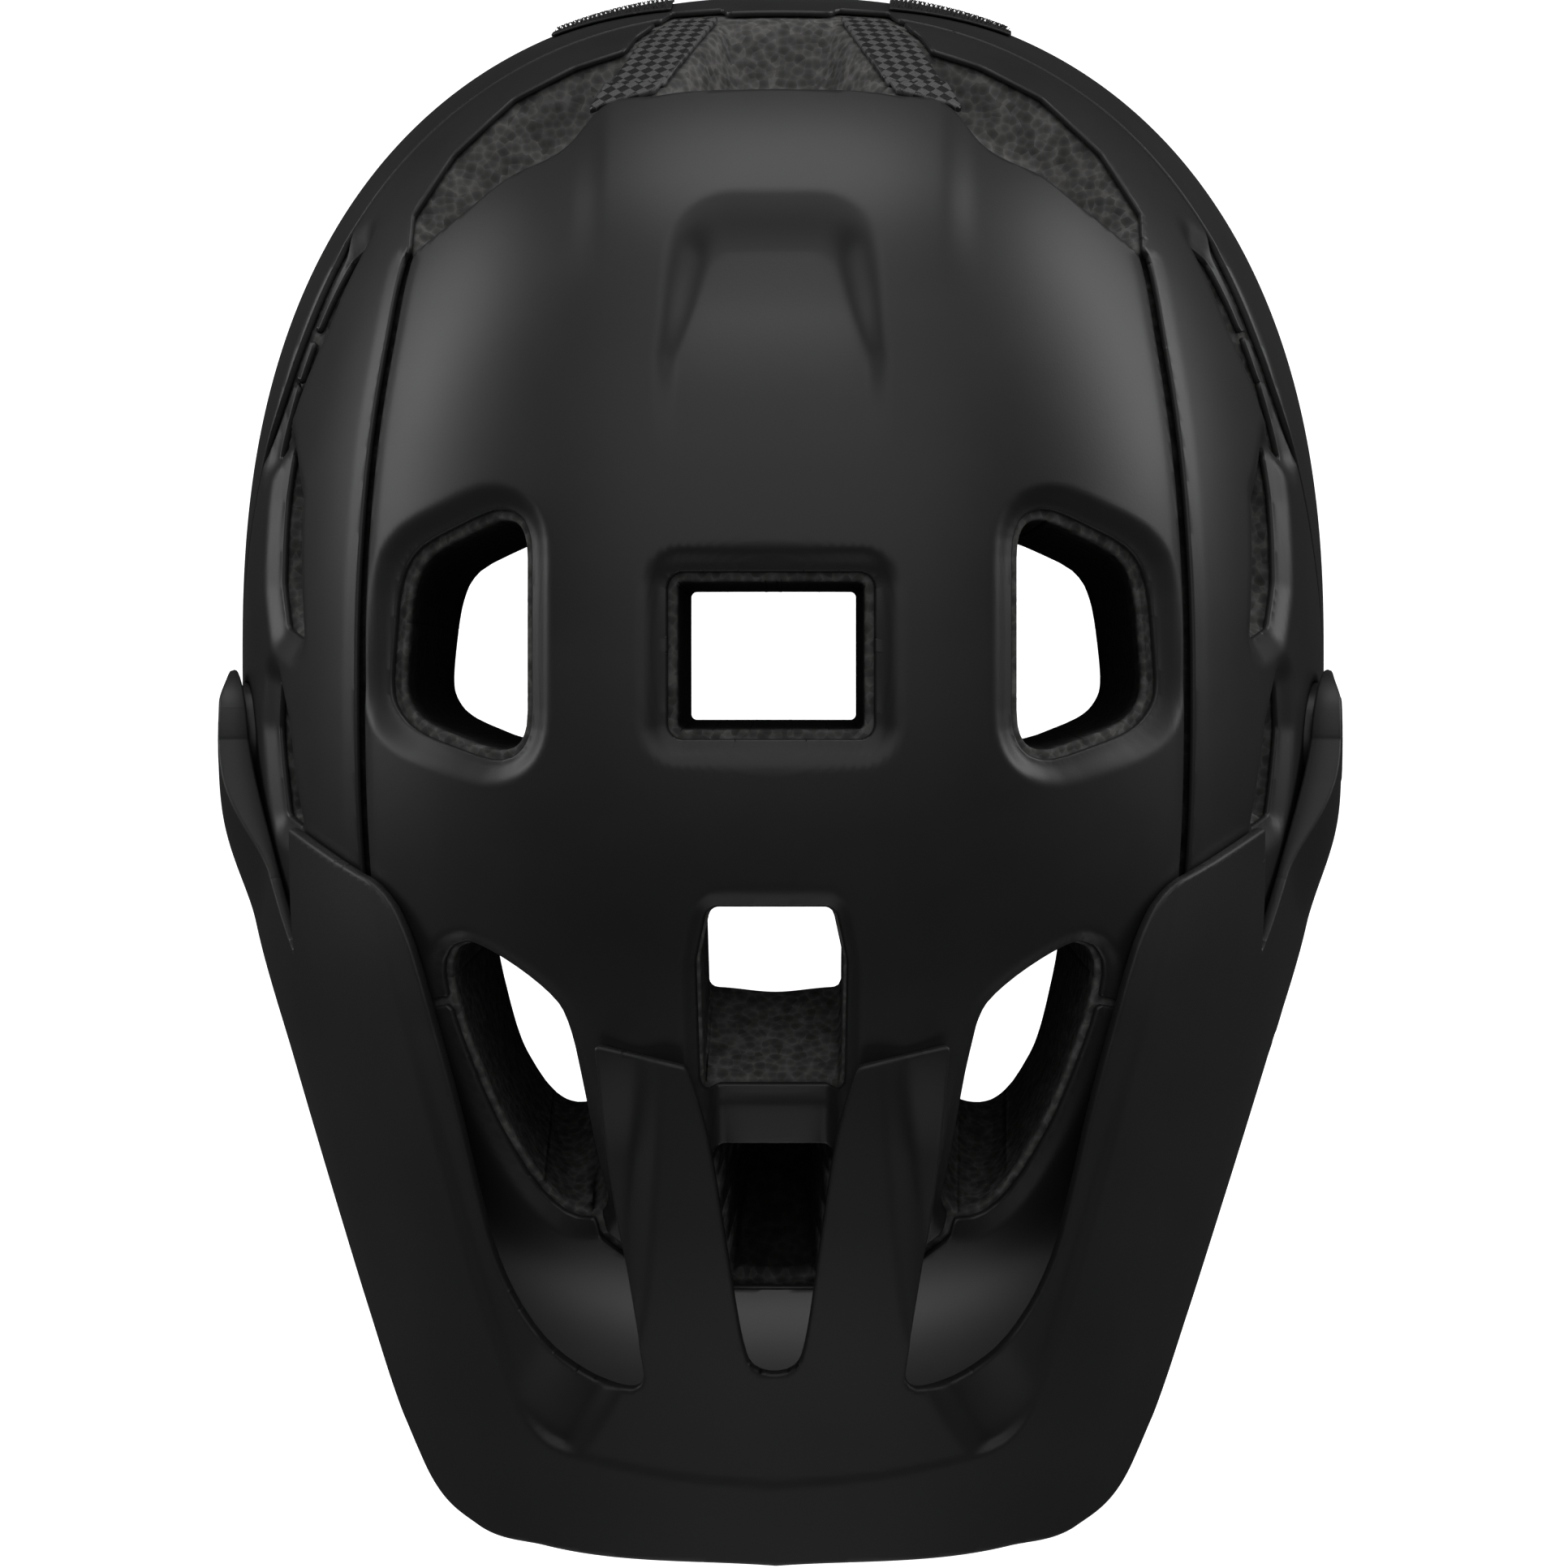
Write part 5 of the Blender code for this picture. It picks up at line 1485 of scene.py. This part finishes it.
def make_materials():
    """Every finish of the helmet."""
    for make in (
        shell_material, foam_material, visor_material, weave_material, nylon_material,
        webbing_material, padding_material, hook_tape_material, rubber_material, steel_material,
    ):
        make()


# ---------------------------------------------------------------- stage, light and camera

CAMERA_DISTANCE = 2000.0
VIEW_CENTRE = (0.0, -16.6, 0.0)
VIEW_WIDTH = 309.1
SENSOR = 36.0
CAMERA_ASIDE = 38.0
FLOOR_Z = -420.0
FLOOR_HALF_SIZE = 30.0

# Softboxes by name: place, aim and size in metres, and power in watts.
LIGHTS = (
    ("overhead", (0.0, 1.15, 2.4), (0, 0, 0), (3.4, 2.8), 23.0),
    ("rear", (0.0, 2.4, 0.4), (0, 0, 0.05), (1.5, 1.4), 18.0),
    ("side_left", (1.9, 1.1, -0.1), (0, 0, 0.02), (1.8, 0.7), 20.0),
    ("side_right", (-2.0, 0.9, -0.1), (0, 0, 0.02), (1.8, 0.7), 17.0),
    ("front", (0.0, -2.2, 1.0), (0, 0, 0.05), (2.0, 0.9), 3.5),
    ("front_low", (0.0, -1.3, -0.25), (0, -0.1, 0.06), (1.8, 0.6), 4.5),
)
WORLD_STRENGTH = 0.03


def make_stage():
    """A plain pale floor well below the straps."""
    mesh = bpy.data.meshes.new("floor")
    corners = [(x * FLOOR_HALF_SIZE, y * FLOOR_HALF_SIZE, 0) for x, y in ((-1, -1), (1, -1), (1, 1), (-1, 1))]
    mesh.from_pydata(corners, [], [(0, 1, 2, 3)])
    tree, shader = new_material("floor", grey(0.92), 0.9)
    shader.inputs["Emission Color"].default_value = (1.0, 1.0, 1.0, 1.0)
    shader.inputs["Emission Strength"].default_value = 1.0
    mesh.materials.append(MATERIALS["floor"])
    floor = new_object("floor", mesh)
    floor.location.z = FLOOR_Z * MM
    floor.visible_diffuse = False
    floor.visible_glossy = False


def area_light(name, place, target, size, power):
    """A soft rectangular light aimed at a place, in metres."""
    data = bpy.data.lights.new(name, "AREA")
    data.shape = "RECTANGLE"
    data.size, data.size_y = size
    data.energy = power
    light = new_object(name, data)
    light.location = place
    light.rotation_euler = (Vector(target) - Vector(place)).to_track_quat("-Z", "Y").to_euler()


def make_lights():
    """Softboxes above and behind, behind, low on either side and in front, and a dim world."""
    for light in LIGHTS:
        area_light(*light)
    world = bpy.data.worlds.new("studio")
    world.use_nodes = True
    background = world.node_tree.nodes["Background"]
    background.inputs["Color"].default_value = (1.0, 1.0, 1.0, 1.0)
    background.inputs["Strength"].default_value = WORLD_STRENGTH
    bpy.context.scene.world = world


def make_camera():
    """Camera above the helmet and slightly to its left, with the photograph's framing."""
    data = bpy.data.cameras.new("camera")
    data.sensor_width = SENSOR
    data.lens = SENSOR * CAMERA_DISTANCE / VIEW_WIDTH
    data.clip_end = 20.0
    camera = new_object("camera", data)
    target = Vector(VIEW_CENTRE) * MM
    camera.location = target + Vector((CAMERA_ASIDE, 0.0, CAMERA_DISTANCE)) * MM
    camera.rotation_euler = (0.0, math.atan2(CAMERA_ASIDE, CAMERA_DISTANCE), 0.0)
    bpy.context.scene.camera = camera
    bpy.context.scene.view_settings.view_transform = "Standard"


# ---------------------------------------------------------------- assembly


make_materials()
make_pads()
make_liner()
make_shells()
make_hook_pads()
make_visor()
make_moulded_parts()
make_belts()
make_straps()
make_stage()
make_lights()
make_camera()
